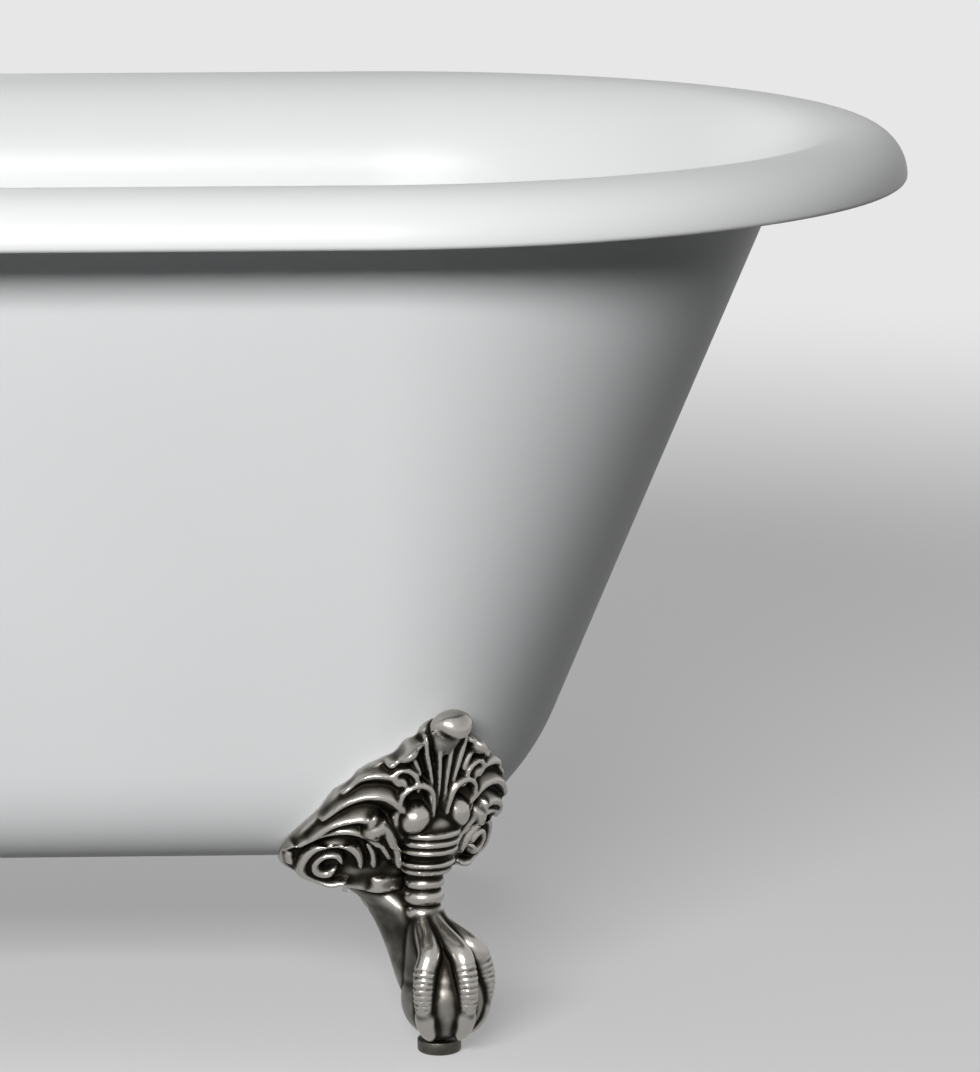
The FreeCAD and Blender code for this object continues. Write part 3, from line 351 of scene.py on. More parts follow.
class Finish:
    """A new material whose tint, polish and grain follow noises in Object coordinates."""

    def __init__(self, name):
        self.material = bpy.data.materials.new(name)
        self.material.use_nodes = True
        self.nodes = self.material.node_tree.nodes
        self.links = self.material.node_tree.links
        self.shader = self.nodes["Principled BSDF"]
        self.place = self.nodes.new("ShaderNodeTexCoord").outputs["Object"]

    def noise(self, scale, detail):
        """A noise with so many lumps in a metre."""
        cloud = self.nodes.new("ShaderNodeTexNoise")
        cloud.inputs["Scale"].default_value = scale
        cloud.inputs["Detail"].default_value = detail
        self.links.new(self.place, cloud.inputs["Vector"])
        return cloud.outputs["Fac"]

    def tint(self, share, *stops):
        """The colour at each share, blended between (share, colour) stops."""
        blend = self.nodes.new("ShaderNodeValToRGB")
        ends = blend.color_ramp.elements
        for end, (position, colour) in zip(ends, (stops[0], stops[-1])):
            end.position, end.color = position, (*colour, 1)
        for position, colour in stops[1:-1]:
            ends.new(position).color = (*colour, 1)
        self.links.new(share, blend.inputs["Fac"])
        self.links.new(blend.outputs["Color"], self.shader.inputs["Base Color"])

    def polish(self, share, low, high, start=0.0, end=1.0):
        """Roughness from low to high as the share goes from start to end."""
        span = self.nodes.new("ShaderNodeMapRange")
        span.inputs["From Min"].default_value = start
        span.inputs["From Max"].default_value = end
        span.inputs["To Min"].default_value = low
        span.inputs["To Max"].default_value = high
        self.links.new(share, span.inputs["Value"])
        self.links.new(span.outputs["Result"], self.shader.inputs["Roughness"])

    def grain(self, height, strength, depth):
        """A bump of so many metres."""
        bump = self.nodes.new("ShaderNodeBump")
        bump.inputs["Strength"].default_value = strength
        bump.inputs["Distance"].default_value = depth
        self.links.new(height, bump.inputs["Height"])
        self.links.new(bump.outputs["Normal"], self.shader.inputs["Normal"])


def enamel_material():
    """Fired white enamel: a soft gloss over a very slightly uneven surface, as it settles."""
    finish = Finish("fired_white_enamel")
    finish.shader.inputs["IOR"].default_value = 1.52
    cloud = finish.noise(5.0, 3.0)
    finish.tint(cloud, (0.3, (0.800, 0.806, 0.806)), (0.7, (0.826, 0.832, 0.830)))
    finish.polish(cloud, 0.36, 0.44)
    finish.grain(finish.noise(150.0, 2.0), 0.05, 0.0006)
    return finish.material


def satin_paint_material():
    """Satin white paint on the outside: a cool white with a fine sprayed grain."""
    finish = Finish("satin_white_paint")
    finish.shader.inputs["IOR"].default_value = 1.46
    finish.shader.inputs["Specular IOR Level"].default_value = 0.25
    cloud = finish.noise(3.2, 4.0)
    finish.tint(cloud, (0.3, (0.735, 0.745, 0.750)), (0.7, (0.765, 0.775, 0.780)))
    spray = finish.noise(420.0, 3.0)
    finish.polish(spray, 0.34, 0.46)
    finish.grain(spray, 0.08, 0.0003)
    return finish.material


tub = new_piece("tub", tub_mesh, enamel_material(), satin_paint_material())
face_row = np.arange(len(tub_mesh.polygons)) // tub_rings.shape[1]
tub_mesh.polygons.foreach_set("material_index", (face_row >= painted_rows).astype(np.int32))

overflow_height = 480.0
overflow_lean = math.atan(side_slope)
overflow_out = np.array([0, math.cos(overflow_lean), -math.sin(overflow_lean)])
overflow_at = np.array([0, wall_station(overflow_height, -wall)[1], overflow_height])
overflow_hole, overflow_recess, overflow_recess_depth = 21.0, 36.0, 1.0
overflow_pad, overflow_pad_root, overflow_pad_face = 33.0, 3.2, 9.5
boss_face, boss_root, boss_radius = 118.0, 130.0, 11.0
bolt_hole, bolt_hole_depth = 4.2, 10.0
eased = 1.0
foot_x, foot_y, foot_turn = 513.0, 230.0, math.radians(35)
bolt_back, bolt_half_spacing = 70.0, 22.0
foot_out = np.array([math.sin(foot_turn), -math.cos(foot_turn), 0])
foot_side = np.array([math.cos(foot_turn), math.sin(foot_turn), 0])
corners = {
    "front_right": np.array([1, 1, 1]),
    "front_left": np.array([-1, 1, 1]),
    "rear_right": np.array([1, -1, 1]),
    "rear_left": np.array([-1, -1, 1]),
}


def at_foot(points):
    """Points given as forward, sideways and up from the pad, moved to the front right foot."""
    level = points[:, :1] * foot_out + points[:, 1:2] * foot_side
    return np.array([foot_x, -foot_y, 0]) + level + points[:, 2:] * [0, 0, 1]


def bar(radius, start, end):
    """The profile of a plain round bar, or of the hole that it cuts."""
    return [(0, start), (radius, start), (radius, end), (0, end)]


def eased_bar(radius, face, root):
    """A bar whose edge is cut back at its face."""
    back = math.copysign(eased, root - face)
    return [(0, face), (radius - eased, face), (radius, face + back), (radius, root), (0, root)]


bolt_places = at_foot(np.array([[-bolt_back, side * bolt_half_spacing, 0] for side in (-1, 1)]))
pad_behind = eased_bar(overflow_pad, overflow_pad_face, overflow_pad_root)
added = [turned(pad_behind, overflow_at, overflow_out)]
taken = [
    turned(bar(overflow_hole, -3, 11), overflow_at, overflow_out),
    turned(bar(overflow_recess, -30, overflow_recess_depth), overflow_at, overflow_out),
]
for mirror in corners.values():
    for place in bolt_places:
        boss = eased_bar(boss_radius, boss_face, boss_root)
        hole = bar(bolt_hole, boss_face - 1, boss_face + bolt_hole_depth)
        added.append(turned(boss, place * mirror, steps=40))
        taken.append(turned(hole, place * mirror, steps=24))
joined(tub, new_mesh("added", *merged(added)), "UNION")
joined(tub, new_mesh("taken", *merged(taken)), "DIFFERENCE")
tub.data.shade_smooth()
tub.data.set_sharp_from_angle(angle=math.radians(tub_crisp_above))
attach(tub, "tub")
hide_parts("tub_shell")

# --- The claw feet -----------------------------------------------------------------------
# Each foot is one casting in pewter-coloured metal: a ball held by three toes, a beaded ankle, a
# ridged collar and an acanthus leaf that lies against the bath. It is dark in the hollows and
# worn bright on the high places.
ball_radius, ball_forward, ball_height = 28.5, 4.0, 38.5
leaf_middle = 158.0
leaf_sides, leaf_steps = 560, 110
leaf_thick = 5.0
leaf_gap = 0.4
leaf_free_below = 152.0
leaf_lean = 0.45
leaf_edge_round = 0.07
leaf_fill, leaf_fill_over = 12.0, 10.0
ripple_height, ripple_up, ripple_across = 0.6, 0.35, 0.2


def smooth_line(points, count):
    """Points on a smooth curve through the given ones: cubic pieces whose slope at each point
    is half the step between its neighbours."""
    points = np.asarray(points, float)
    slope = np.gradient(points, axis=0)
    along = np.linspace(0, len(points) - 1, count)
    low = np.minimum(along.astype(int), len(points) - 2)
    t = (along - low)[:, None]
    start = (2 * t**3 - 3 * t**2 + 1) * points[low] + (t**3 - 2 * t**2 + t) * slope[low]
    return start + (3 * t**2 - 2 * t**3) * points[low + 1] + (t**3 - t**2) * slope[low + 1]


def skin_station(height):
    """The outer skin's distance from the end centre and the long axis at each height."""
    t = np.sqrt(np.clip((height - underside) / (corner_top - underside), 0, 1))
    drop = corner_top - underside
    steer_end, steer_side = end_low - drop * end_slope, side_low - drop * side_slope
    end = (1 - t) ** 2 * flat_end + 2 * t * (1 - t) * steer_end + t * t * end_low
    side = (1 - t) ** 2 * flat_side + 2 * t * (1 - t) * steer_side + t * t * side_low
    above = height >= corner_top
    end = np.where(above, end_low + end_slope * (height - corner_top), end)
    return end, np.where(above, side_low + side_slope * (height - corner_top), side)


def bath_skin(sideways, height):
    """How far forward the bath's skin stands: where a line along the foot's own direction
    meets the flat side, or beyond the end centre the half ellipse of that height."""
    end, side = skin_station(height)
    from_x = foot_x - end_centre + foot_side[0] * sideways
    from_y = -foot_y + foot_side[1] * sideways
    flat = (side + from_y) / -foot_out[1]
    a = (foot_out[0] / end) ** 2 + (foot_out[1] / side) ** 2
    b = 2 * (from_x * foot_out[0] / end**2 + from_y * foot_out[1] / side**2)
    c = (from_x / end) ** 2 + (from_y / side) ** 2 - 1
    bend = (-b + np.sqrt(np.clip(b * b - 4 * a * c, 0, None))) / (2 * a)
    return np.where(from_x + foot_out[0] * flat <= 0, flat, bend)


def leaf_base(sideways, height):
    """The leaf follows the bath down to where the bath turns under, then leans back."""
    below = np.minimum(height - leaf_free_below, 0)
    return bath_skin(sideways, np.maximum(height, leaf_free_below)) + below * leaf_lean


# Half of the leaf's edge as (sideways, height), from the top down.
leaf_edge = [
    (0, 236), (9, 235), (15, 231), (18, 225), (25, 222), (31, 214), (38, 210), (49, 203),
    (55, 194), (63, 187), (69, 173), (76, 160), (82, 143), (80, 131), (66, 123), (40, 112),
    (0, 104),
]
# Each fold of the leaf: its crest as (sideways, height), its half width at both ends of the
# crest, how far it stands out, and how its flanks fall: under 1 is round, over 1 is scooped.
leaf_folds = [
    ([(83, 141), (76, 156), (67, 175), (56, 193), (43, 206), (33, 212)], 4.0, 4.0, 4.5, 1.0),
    ([(57, 189), (51, 197), (44, 200), (36, 200), (28, 197), (22, 190)], 6.0, 9.0, 9.0, 1.3),
    ([(66, 171), (57, 181), (48, 186), (39, 187), (31, 184), (23, 176)], 6.0, 10.0, 11.0, 1.3),
    ([(70, 157), (61, 167), (52, 171), (44, 172), (36, 169)], 6.0, 9.0, 12.0, 1.2),
    ([(38, 174), (38, 166), (33, 160)], 5.0, 5.5, 13.0, 0.7),
    ([(33, 168), (26, 159), (20, 148), (16, 134)], 5.0, 4.0, 12.0, 0.8),
    ([(35, 150), (31, 143), (28, 132)], 3.0, 4.0, 8.0, 1.0),
    ([(35, 133), (39, 143), (47, 150), (56, 151), (64, 147),
      (68, 138), (67, 129), (60, 122), (51, 119), (42, 121)], 4.0, 5.0, 9.5, 0.8),
    ([(46, 136), (50, 142), (57, 142), (61, 136), (59, 130), (53, 128), (50, 132)],
     3.0, 5.5, 9.5, 0.8),
    ([(83, 143), (75, 152), (65, 160), (54, 163), (42, 161), (30, 153), (22, 140)],
     4.0, 6.0, 10.5, 1.1),
    ([(33, 208), (31, 216), (26, 221), (19, 221)], 7.0, 8.0, 10.0, 0.8),
    ([(16, 188), (19, 199), (26, 204), (31, 200), (28, 193)], 3.5, 4.0, 9.0, 0.9),
    ([(26, 178), (25, 188), (17, 193), (8, 188), (5, 174), (4, 156)], 3.5, 4.0, 10.5, 0.9),
    ([(2, 153), (2, 175), (3, 200), (5, 224)], 3.0, 4.0, 9.0, 1.1),
    ([(7, 190), (10, 203), (13, 216), (14, 226)], 3.5, 4.5, 9.0, 1.1),
    ([(15, 199), (20, 210), (22, 216)], 3.5, 4.5, 8.0, 1.1),
    ([(6, 153), (15, 155), (22, 161), (26, 170), (26, 178)], 4.0, 4.0, 9.0, 0.9),
    ([(74, 134), (78, 143)], 4.0, 4.0, 5.0, 1.0),
]
# Each round swelling: sideways, height, radius, how far it stands out.
leaf_buds = [(15, 170, 10.5, 16.0), (26, 217, 8.5, 15.0), (36, 165, 7.5, 15.0)]


def fold_height(sideways, height, crest, half_start, half_end, proud, flank):
    """How far a fold stands out: proud, times a power of one less the distance to its crest
    over its half width. The half width narrows at both ends."""
    line = smooth_line(crest, 60)
    apart = (sideways[..., None] - line[:, 0]) ** 2 + (height[..., None] - line[:, 1]) ** 2
    share = apart.argmin(-1) / 59
    half = half_start + (half_end - half_start) * share
    half *= 1 - np.abs(2 * share - 1) ** 6 * 0.45
    away = np.sqrt(apart.min(-1) + 0.5) / half
    return proud * np.clip(1 - np.clip(away, 0, 1) ** (2 if flank < 1 else 1.2), 0, None) ** flank


def leaf_relief(sideways, height):
    """The folds and buds over the plate: the highest of them at each place."""
    across = np.abs(sideways)
    relief = ripple_height * (1 + np.sin(height * ripple_up + across * ripple_across))
    for fold in leaf_folds:
        relief = np.maximum(relief, fold_height(across, height, *fold))
    for q, z, radius, proud in leaf_buds:
        away = ((across - q) ** 2 + (height - z) ** 2) / radius**2
        relief = np.maximum(relief, proud * np.sqrt(np.clip(1 - away, 0, None)))
    return relief


def make_leaf():
    """The leaf as two surfaces over one polar grid, front and back, closed round its edge."""
    half = smooth_line(leaf_edge, 400)
    edge = np.vstack([half, (half * [-1, 1])[-2:0:-1]]) - [0, leaf_middle]
    bearing = np.unwrap(np.arctan2(edge[:, 1], edge[:, 0]))
    order = np.argsort(bearing)
    turn = np.linspace(-math.pi, math.pi, leaf_sides, endpoint=False)
    reach = np.interp(turn, bearing[order], np.hypot(*edge.T)[order], period=2 * math.pi)
    share = np.linspace(0, 1, leaf_steps)[:, None] ** 0.8
    sideways = share * reach * np.cos(turn)
    height = leaf_middle + share * reach * np.sin(turn)
    forward = leaf_base(sideways, height)
    lean_across = leaf_base(sideways + 0.5, height) - leaf_base(sideways - 0.5, height)
    lean_up = leaf_base(sideways, height + 0.5) - leaf_base(sideways, height - 0.5)
    normal = np.stack([np.ones_like(forward), -lean_across, -lean_up], 2)
    normal /= np.linalg.norm(normal, axis=2, keepdims=True)
    surface = np.stack([forward, sideways, height], 2) + normal * leaf_gap
    into_edge = np.clip(1 - (1 - share) / leaf_edge_round, 0, None)
    raised = np.sqrt(1 - into_edge**2) * (leaf_thick + leaf_relief(sideways, height))
    front = surface + normal * raised[..., None]
    skin = bath_skin(sideways, np.maximum(height, underside))
    room = np.clip(forward - skin - leaf_gap, 0, leaf_fill)
    free = np.clip((leaf_free_below - height) / leaf_fill_over, 0, 1)
    back = surface - normal * (room * free * np.sqrt(1 - share**2))[..., None]
    rings = np.concatenate([front, back[-2::-1]])
    return rings.reshape(-1, 3), grid_faces(len(rings), leaf_sides, False)


def capped(rings):
    """Rings closed by a pole in the middle of the first and of the last."""
    poles = [np.broadcast_to(ring.mean(0), ring.shape)[None] for ring in (rings[0], rings[-1])]
    rings = np.concatenate([poles[0], rings, poles[1]])
    return rings.reshape(-1, 3), grid_faces(*rings.shape[:2], False)


def level_ovals(rows, count=90, steps=96):
    """Level ovals between (forward, half depth, half width, height) rows."""
    rows = smooth_line(rows, count)
    turn = np.linspace(0, 2 * math.pi, steps, endpoint=False)
    forward = rows[:, :1] + rows[:, 1:2] * np.cos(turn)
    return capped(np.stack([forward, rows[:, 2:3] * np.sin(turn), rows[:, 3:] + 0 * turn], 2))


def limb(spine, count, steps=40, ribs=None, flat=1.0, outward_way=(1, 0, 0)):
    """A round limb along (x, y, z, radius) points, flat times as wide as it is deep. Ribs are
    (start, end, number, proud): between two shares of its length they swell its outer half."""
    spine = smooth_line(spine, count)
    middle, radius = spine[:, :3], spine[:, 3]
    along = np.gradient(middle, axis=0)
    along /= np.linalg.norm(along, axis=1, keepdims=True)
    out = np.array(outward_way) - along * (along @ np.array(outward_way))[:, None]
    out /= np.linalg.norm(out, axis=1, keepdims=True)
    across = np.cross(along, out)
    turn = np.linspace(0, 2 * math.pi, steps, endpoint=False)
    size = radius[:, None] * np.ones(steps)
    if ribs:
        start, end, number, proud = ribs
        share = np.linspace(0, 1, count)[:, None]
        ribbed = np.clip((share - start) * 30, 0, 1) * np.clip((end - share) * 30, 0, 1)
        wave = np.abs(np.sin(math.pi * number * (share - start) / (end - start)))
        size *= 1 + proud * ribbed * (wave - 0.6) * np.clip(np.cos(turn) + 0.5, 0, 1)
    arm = (size * np.cos(turn))[..., None] * out[:, None]
    arm += (size * flat * np.sin(turn))[..., None] * across[:, None]
    return capped(middle[:, None] + arm)


# The leg behind, the column inside the collar, and the palm over the ball.
leg_rows = [
    (0, 18, 18, 24), (-2, 24, 21, 36), (-9, 28, 22, 48), (-19, 33, 19, 64), (-33, 37, 16, 80),
    (-45, 37, 19, 92), (-53, 33, 25, 100), (-59, 29, 34, 108), (-61, 27, 45, 117.5),
]
column_rows = [
    (-16, 10, 10, 74), (-17, 11, 11, 90), (-17, 10.5, 10.5, 101), (-17, 11, 11, 112),
    (-15, 12, 12.5, 122), (-13, 14, 15, 132), (-11, 17, 17, 143), (-10, 17, 18, 152),
    (-8, 13, 17, 161), (-6, 6, 12, 168),
]
palm_rows = [
    (-16, 9, 10, 98), (-12, 15, 14, 88), (-5, 21, 19, 76), (0, 25, 23, 62), (3, 26, 25, 48),
    (4, 18, 18, 30),
]
# Each ring: its middle's height, how tall it is, forward, half depth, half width, how proud. Two
# beads and a fillet are on the ankle, and five ridges on the collar.
ring_rows = [
    (95, 9.5, -17, 10.5, 10.5, 3.2), (106, 9.5, -17, 10.5, 10.5, 3.6),
    (116, 6, -16, 11.5, 12, 1.8), (126, 4.5, -14, 13.5, 14, 4.0),
    (131.5, 4.5, -13, 14.5, 15.5, 4.2), (141, 4.5, -11, 16.5, 17, 3.4),
    (147, 4.5, -10, 17, 18, 3.4), (153, 5, -10, 16.5, 18, 4.0),
]
toe_bearings = (-62, 0, 62)
toe_rows = [
    (20, 74, 8.2), (25.5, 64, 8.2), (28, 54, 7.8), (28.5, 44, 7.2), (27, 36, 6.6), (25, 30, 6.2),
]
talon_rows = [
    (25.5, 40, 5.0), (26.5, 32, 6.6), (24.5, 24, 6.0), (20.5, 17, 4.2), (16.5, 12.5, 1.4),
]
knuckle_ribs = (0.40, 0.93, 11, 0.24)


def make_ball():
    """The ball: a half circle turned round the upright through its middle."""
    turn = np.linspace(0, math.pi, 60)
    half_circle = [ball_radius * np.sin(turn), ball_height - ball_radius * np.cos(turn)]
    return turned(np.stack(half_circle, 1), (ball_forward, 0, 0), steps=90)


def make_rings():
    """The rings: ovals that swell by half a sine wave from the foot of each ring to its top."""
    turn = np.linspace(0, math.pi, 15)
    rings = []
    for middle, tall, forward, half_depth, half_width, proud in ring_rows:
        swell = proud * np.sin(turn)
        level = middle - tall / 2 * np.cos(turn)
        rows = [forward + 0 * turn, half_depth + swell, half_width + swell, level]
        rings.append(level_ovals(np.stack(rows, 1), 30))
    return rings


def make_toes():
    """Three toes out of the ankle over the ball, ribbed over the knuckle, each with a talon.
    Their rows are (reach from the ball's middle, height, radius)."""
    toes = []
    for bearing in toe_bearings:
        way = math.radians(bearing)
        out = np.array([math.cos(way), math.sin(way), 0])
        root = [(-15 + 4 * out[0], 4 * out[1], 94, 7.0), (-8 + 9 * out[0], 10 * out[1], 84, 7.8)]
        toe, talon = (
            [(ball_forward + reach * out[0], reach * out[1], *rest) for reach, *rest in rows]
            for rows in (toe_rows, talon_rows)
        )
        toes.append(limb(root + toe, 220, 40, knuckle_ribs, 0.95, out))
        toes.append(limb(talon, 60, 32, None, 1.15, out))
    return toes


def make_leaf_tip():
    """The leaf's tip, which curls forward over its own rib: a fat limb that rises from the
    plate, turns over at the top and ends in a small nose."""
    root = leaf_base(np.zeros(1), np.array([230.0]))[0]
    spine = [
        (root + 2, 0, 212, 6.0), (root + 6, 0, 222, 8.5), (root + 10, 0, 230, 10.0),
        (root + 16, 0, 233, 9.5), (root + 21, 0, 229, 7.0), (root + 22, 0, 224, 3.0),
    ]
    return limb(spine, 70, flat=1.45)


flange_back, flange_front, flange_half = 84.0, 30.0, 31.0
flange_low, flange_high = 108.4, 117.9
flange_corner = 0.35


def make_flange():
    """The flange that bolts to the bath's bosses: a level block whose outline is a squared
    ellipse, the cosine and sine of the turn each to a power well under one."""
    turn = np.linspace(0, 2 * math.pi, 96, endpoint=False)
    wave = np.stack([np.cos(turn), np.sin(turn)], 1)
    outline = np.sign(wave) * np.abs(wave) ** flange_corner
    outline = outline * [(flange_back - flange_front) / 2, flange_half]
    outline = outline - [(flange_back + flange_front) / 2, 0]
    return capped(np.stack([np.insert(outline, 2, z, 1) for z in (flange_low, flange_high)]))


def worn_pewter_material():
    """Aged pewter: nearly black in the hollows, grey on the faces, worn bright on the edges."""
    finish = Finish("aged_pewter")
    finish.shader.inputs["Metallic"].default_value = 1.0
    hollow = finish.nodes.new("ShaderNodeAttribute")
    hollow.attribute_name = "worn"
    wear = finish.nodes.new("ShaderNodeMath")
    wear.operation = "MULTIPLY_ADD"
    finish.links.new(finish.noise(90.0, 5.0), wear.inputs[0])
    wear.inputs[1].default_value = 0.34
    finish.links.new(hollow.outputs["Fac"], wear.inputs[2])
    finish.tint(
        wear.outputs[0], (0.30, (0.014, 0.012, 0.009)), (0.50, (0.045, 0.040, 0.032)),
        (0.66, (0.115, 0.108, 0.094)), (0.82, (0.24, 0.23, 0.21)), (1.0, (0.46, 0.44, 0.41)),
    )
    finish.polish(wear.outputs[0], 0.55, 0.24, 0.35, 0.9)
    finish.grain(finish.noise(700.0, 4.0), 0.22, 0.0004)
    return finish.material


worn_middle, worn_gain, worn_rounds = 0.42, 1.1, 12


def worn_share(points, normals, edges):
    """How worn each point is, from 0 to 1: its height along the normal over its surroundings,
    in millimetres, times a gain. The surroundings are the neighbours' mean, taken over and
    over. Ridges come out high and hollows low."""
    count = np.bincount(edges.ravel(), minlength=len(points))[:, None]

    def neighbours(values):
        total = np.zeros(values.shape)
        for axis in range(values.shape[1]):
            for here, there in (edges.T, edges.T[::-1]):
                total[:, axis] += np.bincount(here, values[there, axis], len(points))
        return total / count

    wide = points
    for _ in range(worn_rounds):
        wide = neighbours(wide)
    raised = ((points - wide) * normals).sum(1, keepdims=True) / MM
    return np.clip(worn_middle + worn_gain * neighbours(raised), 0, 1).ravel()


def read_all(items, field, width, kind=float):
    """One field of all items, as an array of so many columns."""
    values = np.zeros(len(items) * width, kind)
    items.foreach_get(field, values)
    return values.reshape(-1, width)


def wear_in(mesh, share):
    """How worn each point is, kept for the pewter to read."""
    mesh.attributes.new("worn", "FLOAT", "POINT").data.foreach_set("value", share)


# The limbs, rings and leaf are melted into one skin, softened as a sand casting is, and the
# bolts' pockets are cut up into it from below.
casting_grain = 0.00113
pocket_radius, pocket_low, pocket_top = 9.5, 88.0, 108.3
clearance_radius, clearance_top = 4.6, 140.0
pewter = worn_pewter_material()
foot_points, foot_faces = merged([
    make_leaf(), level_ovals(leg_rows), level_ovals(column_rows), level_ovals(palm_rows),
    make_ball(), make_flange(), make_leaf_tip(), *make_rings(), *make_toes(),
])
rough = bpy.data.meshes.new("rough_foot")
rough.from_pydata((at_foot(foot_points) * MM).tolist(), [], foot_faces.tolist())
holder = new_piece("foot", rough)
melt = holder.modifiers.new("one casting", "REMESH")
melt.mode = "VOXEL"
melt.voxel_size = casting_grain
soften = holder.modifiers.new("soft edges", "SMOOTH")
soften.factor = 0.5
soften.iterations = 2
finished(holder)
pocket = [
    (0, pocket_low), (pocket_radius, pocket_low), (pocket_radius, pocket_top),
    (clearance_radius, pocket_top), (clearance_radius, clearance_top), (0, clearance_top),
]
pockets = merged([turned(pocket, place, steps=40) for place in bolt_places])
cast = joined(holder, new_mesh("pockets", *pockets), "DIFFERENCE")
bpy.data.objects.remove(holder)
wear_in(cast, worn_share(
    read_all(cast.vertices, "co", 3), read_all(cast.vertices, "normal", 3),
    read_all(cast.edges, "vertices", 2, np.int32),
))
cast.shade_smooth()
cast.materials.clear()
cast.materials.append(pewter)
for corner, mirror in corners.items():
    mesh = cast.copy()
    mesh.transform(Matrix.Diagonal((*mirror.astype(float), 1)))
    if mirror.prod() < 0:
        mesh.flip_normals()
    foot = new_piece("claw_foot_" + corner, mesh)
    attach(foot, "tub")
    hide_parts("foot_" + corner)

# --- The levelling pads ------------------------------------------------------------------
# A round pad under each foot screws up into the ball on a short threaded stem. It is the same
# pewter-coloured metal, turned on a lathe with eased edges.
pad_worn = 0.45
pad_profile = [
    (0, 0), (13.2, 0), (13.9, 0.3), (14.7, 1.1), (15, 1.8), (15, 8.2), (14.8, 8.7), (14.2, 9),
    (5, 9), (4.95, 9.4), (4.95, 32.3), (4.4, 33), (0, 33),
]
for corner, mirror in corners.items():
    place = np.array([foot_x, -foot_y, 0]) * mirror
    mesh = new_mesh("pad_" + corner, *turned(pad_profile, place, steps=64), 35.0)
    wear_in(mesh, np.full(len(mesh.vertices), pad_worn))
    levelling_pad = new_piece("screw_pad_" + corner, mesh, pewter)
    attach(levelling_pad, "pad_" + corner)
    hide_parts("levelling_pad_" + corner)

# --- The bolts that hold the feet --------------------------------------------------------
# Hex bolts and washers of zinc-plated steel, run up through each foot's flange into the
# bosses under the bath.


def metal_material(name, dark, light, roughest, smoothest, scale, metallic=1.0):
    """A metal whose tint and polish drift a little from place to place."""
    finish = Finish(name)
    finish.shader.inputs["Metallic"].default_value = metallic
    drift = finish.noise(scale, 4.0)
    finish.tint(drift, (0.3, dark), (0.7, light))
    finish.polish(drift, roughest, smoothest)
    return finish.material


def finish_nodes(material, slot, *names):
    """Gives the CAD pieces of one finish their material."""
    for name in names:
        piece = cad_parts[name]
        piece.data.materials.clear()
        piece.data.materials.append(material)


plated = metal_material(
    "zinc_plated_steel", (0.50, 0.51, 0.52), (0.62, 0.63, 0.63), 0.42, 0.28, 160.0
)
finish_nodes(plated, "plated_steel", "foot_bolts", "foot_bolt_washers")

# --- The waste under the bath ------------------------------------------------------------
# A chromed flange is clamped through the floor by a brass nut. Below it hang a brass tee and
# a chromed tailpiece. Rubber rings seal it, and a rocker in the tee lifts the plug.
chrome = metal_material(
    "polished_chrome", (0.60, 0.61, 0.63), (0.68, 0.69, 0.70), 0.10, 0.05, 45.0
)
brass = metal_material("cast_brass", (0.50, 0.36, 0.16), (0.66, 0.49, 0.24), 0.42, 0.26, 90.0)


def rubber_material(name, dark, light, scale):
    """A matt rubber or plastic with a faint bloom."""
    return metal_material(name, dark, light, 0.72, 0.55, scale, metallic=0.0)


rubber = rubber_material("black_rubber", (0.018, 0.018, 0.018), (0.035, 0.034, 0.033), 220.0)
finish_nodes(chrome, "chrome", "waste_flange", "waste_tailpiece", "tailpiece_nut")
finish_nodes(brass, "brass", "waste_backnut", "waste_body", "lift_lever", "lift_lever_pin")
finish_nodes(rubber, "rubber", "waste_seal_upper", "waste_seal_lower", "plug_seal")

# --- The plug ----------------------------------------------------------------------------
# The pop-up plug is turned from brass and chromed: a shallow dome over a grooved skirt, with a
# thin stem down to the rocker.
plug_radius, dome_top, dome_drop = 24.0, 135.8, 1.9
dome_reach = np.linspace(0, plug_radius - 0.6, 24)
dome = np.stack([dome_reach, dome_top - dome_drop * (dome_reach / plug_radius) ** 2], 1)
plug_skirt = [
    (23.85, 133.6), (24, 133.2), (24, 132.3), (23.6, 131.8), (18, 131.8), (18, 130.3),
    (16.5, 130.3), (16.5, 127.3), (18, 127.3), (18, 125.2), (17.6, 124.8), (3, 124.8),
]
plug_stem = [(3, 80.4), (2.6, 78.9), (1.5, 77.9), (0, 77.55)]
plug_mesh = new_mesh("pop_up_plug", *turned([*dome, *plug_skirt, *plug_stem], steps=96), 30.0)
plug = new_piece("pop_up_plug", plug_mesh, chrome)
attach(plug, "plug")
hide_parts("waste_plug")

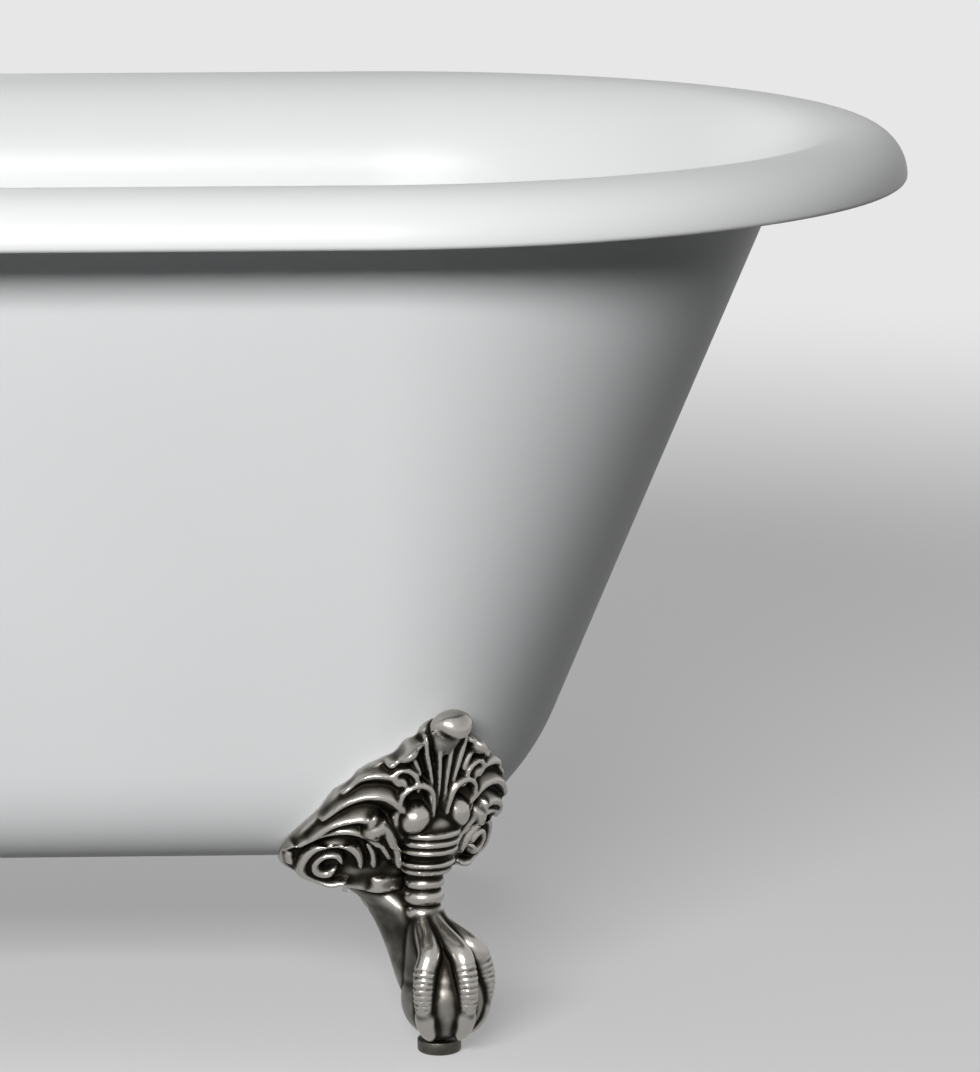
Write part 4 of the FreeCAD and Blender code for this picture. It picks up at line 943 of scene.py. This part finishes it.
# --- The overflow and its knob -----------------------------------------------------------
# A chromed plate and a turned knob with eight finger grooves sit inside the rear wall. Behind
# the wall a brass elbow and a chromed pipe lead down to the tee, with the control cable inside.
grooves, groove_radius, groove_out = 8, 3.5, 1.75
knob_radius, knob_face, knob_edge = 30.0, -25.0, 2.5
knob_steps = 240
edge_turn = np.linspace(0, math.pi / 2, 8)
knob_round = np.stack([
    knob_radius - knob_edge + knob_edge * np.sin(edge_turn),
    knob_face + knob_edge - knob_edge * np.cos(edge_turn),
], 1)
knob_profile = np.array([
    (0, knob_face), (10, knob_face), (20, knob_face), *knob_round,
    (30, -18), (30, -11.2), (29.6, -10.4), (29, -10), (26, -10), (25.3, -10.3), (25, -11),
    (25, -20), (8, -20), (8, -10.5), (7.5, -10), (4.1, -10), (4.1, -20), (0, -20),
])
grooved = (knob_profile[:, 0] > 27) & (knob_profile[:, 1] < -9.9)
# A finger groove is a round bar's bite into the rim: half the chord at each turn, less how far
# the bar's middle stands outside the rim. Each point of the rim moves in by its bite.
knob_points, knob_faces = turned(knob_profile, overflow_at, overflow_out, knob_steps)
knob_grid = knob_points.reshape(len(knob_profile), knob_steps, 3)
knob_turn = np.linspace(0, 2 * math.pi, knob_steps, endpoint=False)
groove_turn = (knob_turn + math.pi / grooves) % (2 * math.pi / grooves) - math.pi / grooves
from_groove = (knob_radius + groove_out) * groove_turn
bite = np.sqrt(np.clip(groove_radius**2 - from_groove**2, 0, None)) - groove_out
bite = np.clip(bite, 0, None) * grooved[:, None]
knob_axis = (overflow_at + knob_profile[:, 1, None] * overflow_out)[:, None]
spoke = knob_grid - knob_axis
reach = np.maximum(np.linalg.norm(spoke, axis=2), 1)
knob_grid = knob_axis + spoke * (1 - bite / reach)[..., None]
knob_mesh = new_mesh("turned_knob", knob_grid.reshape(-1, 3), knob_faces, 32.0)
knob = new_piece("turned_knob", knob_mesh, chrome)
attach(knob, "knob")
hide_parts("overflow_knob")
cable_sleeve = rubber_material("grey_cable_sleeve", (0.10, 0.10, 0.11), (0.15, 0.15, 0.16), 140.0)
finish_nodes(chrome, "chrome", "overflow_faceplate", "overflow_pipe", "overflow_pipe_nuts")
finish_nodes(brass, "brass", "overflow_elbow", "overflow_spindle")
finish_nodes(rubber, "rubber", "overflow_seal_inner", "overflow_seal_outer")
finish_nodes(cable_sleeve, "cable_sleeve", "control_cable")
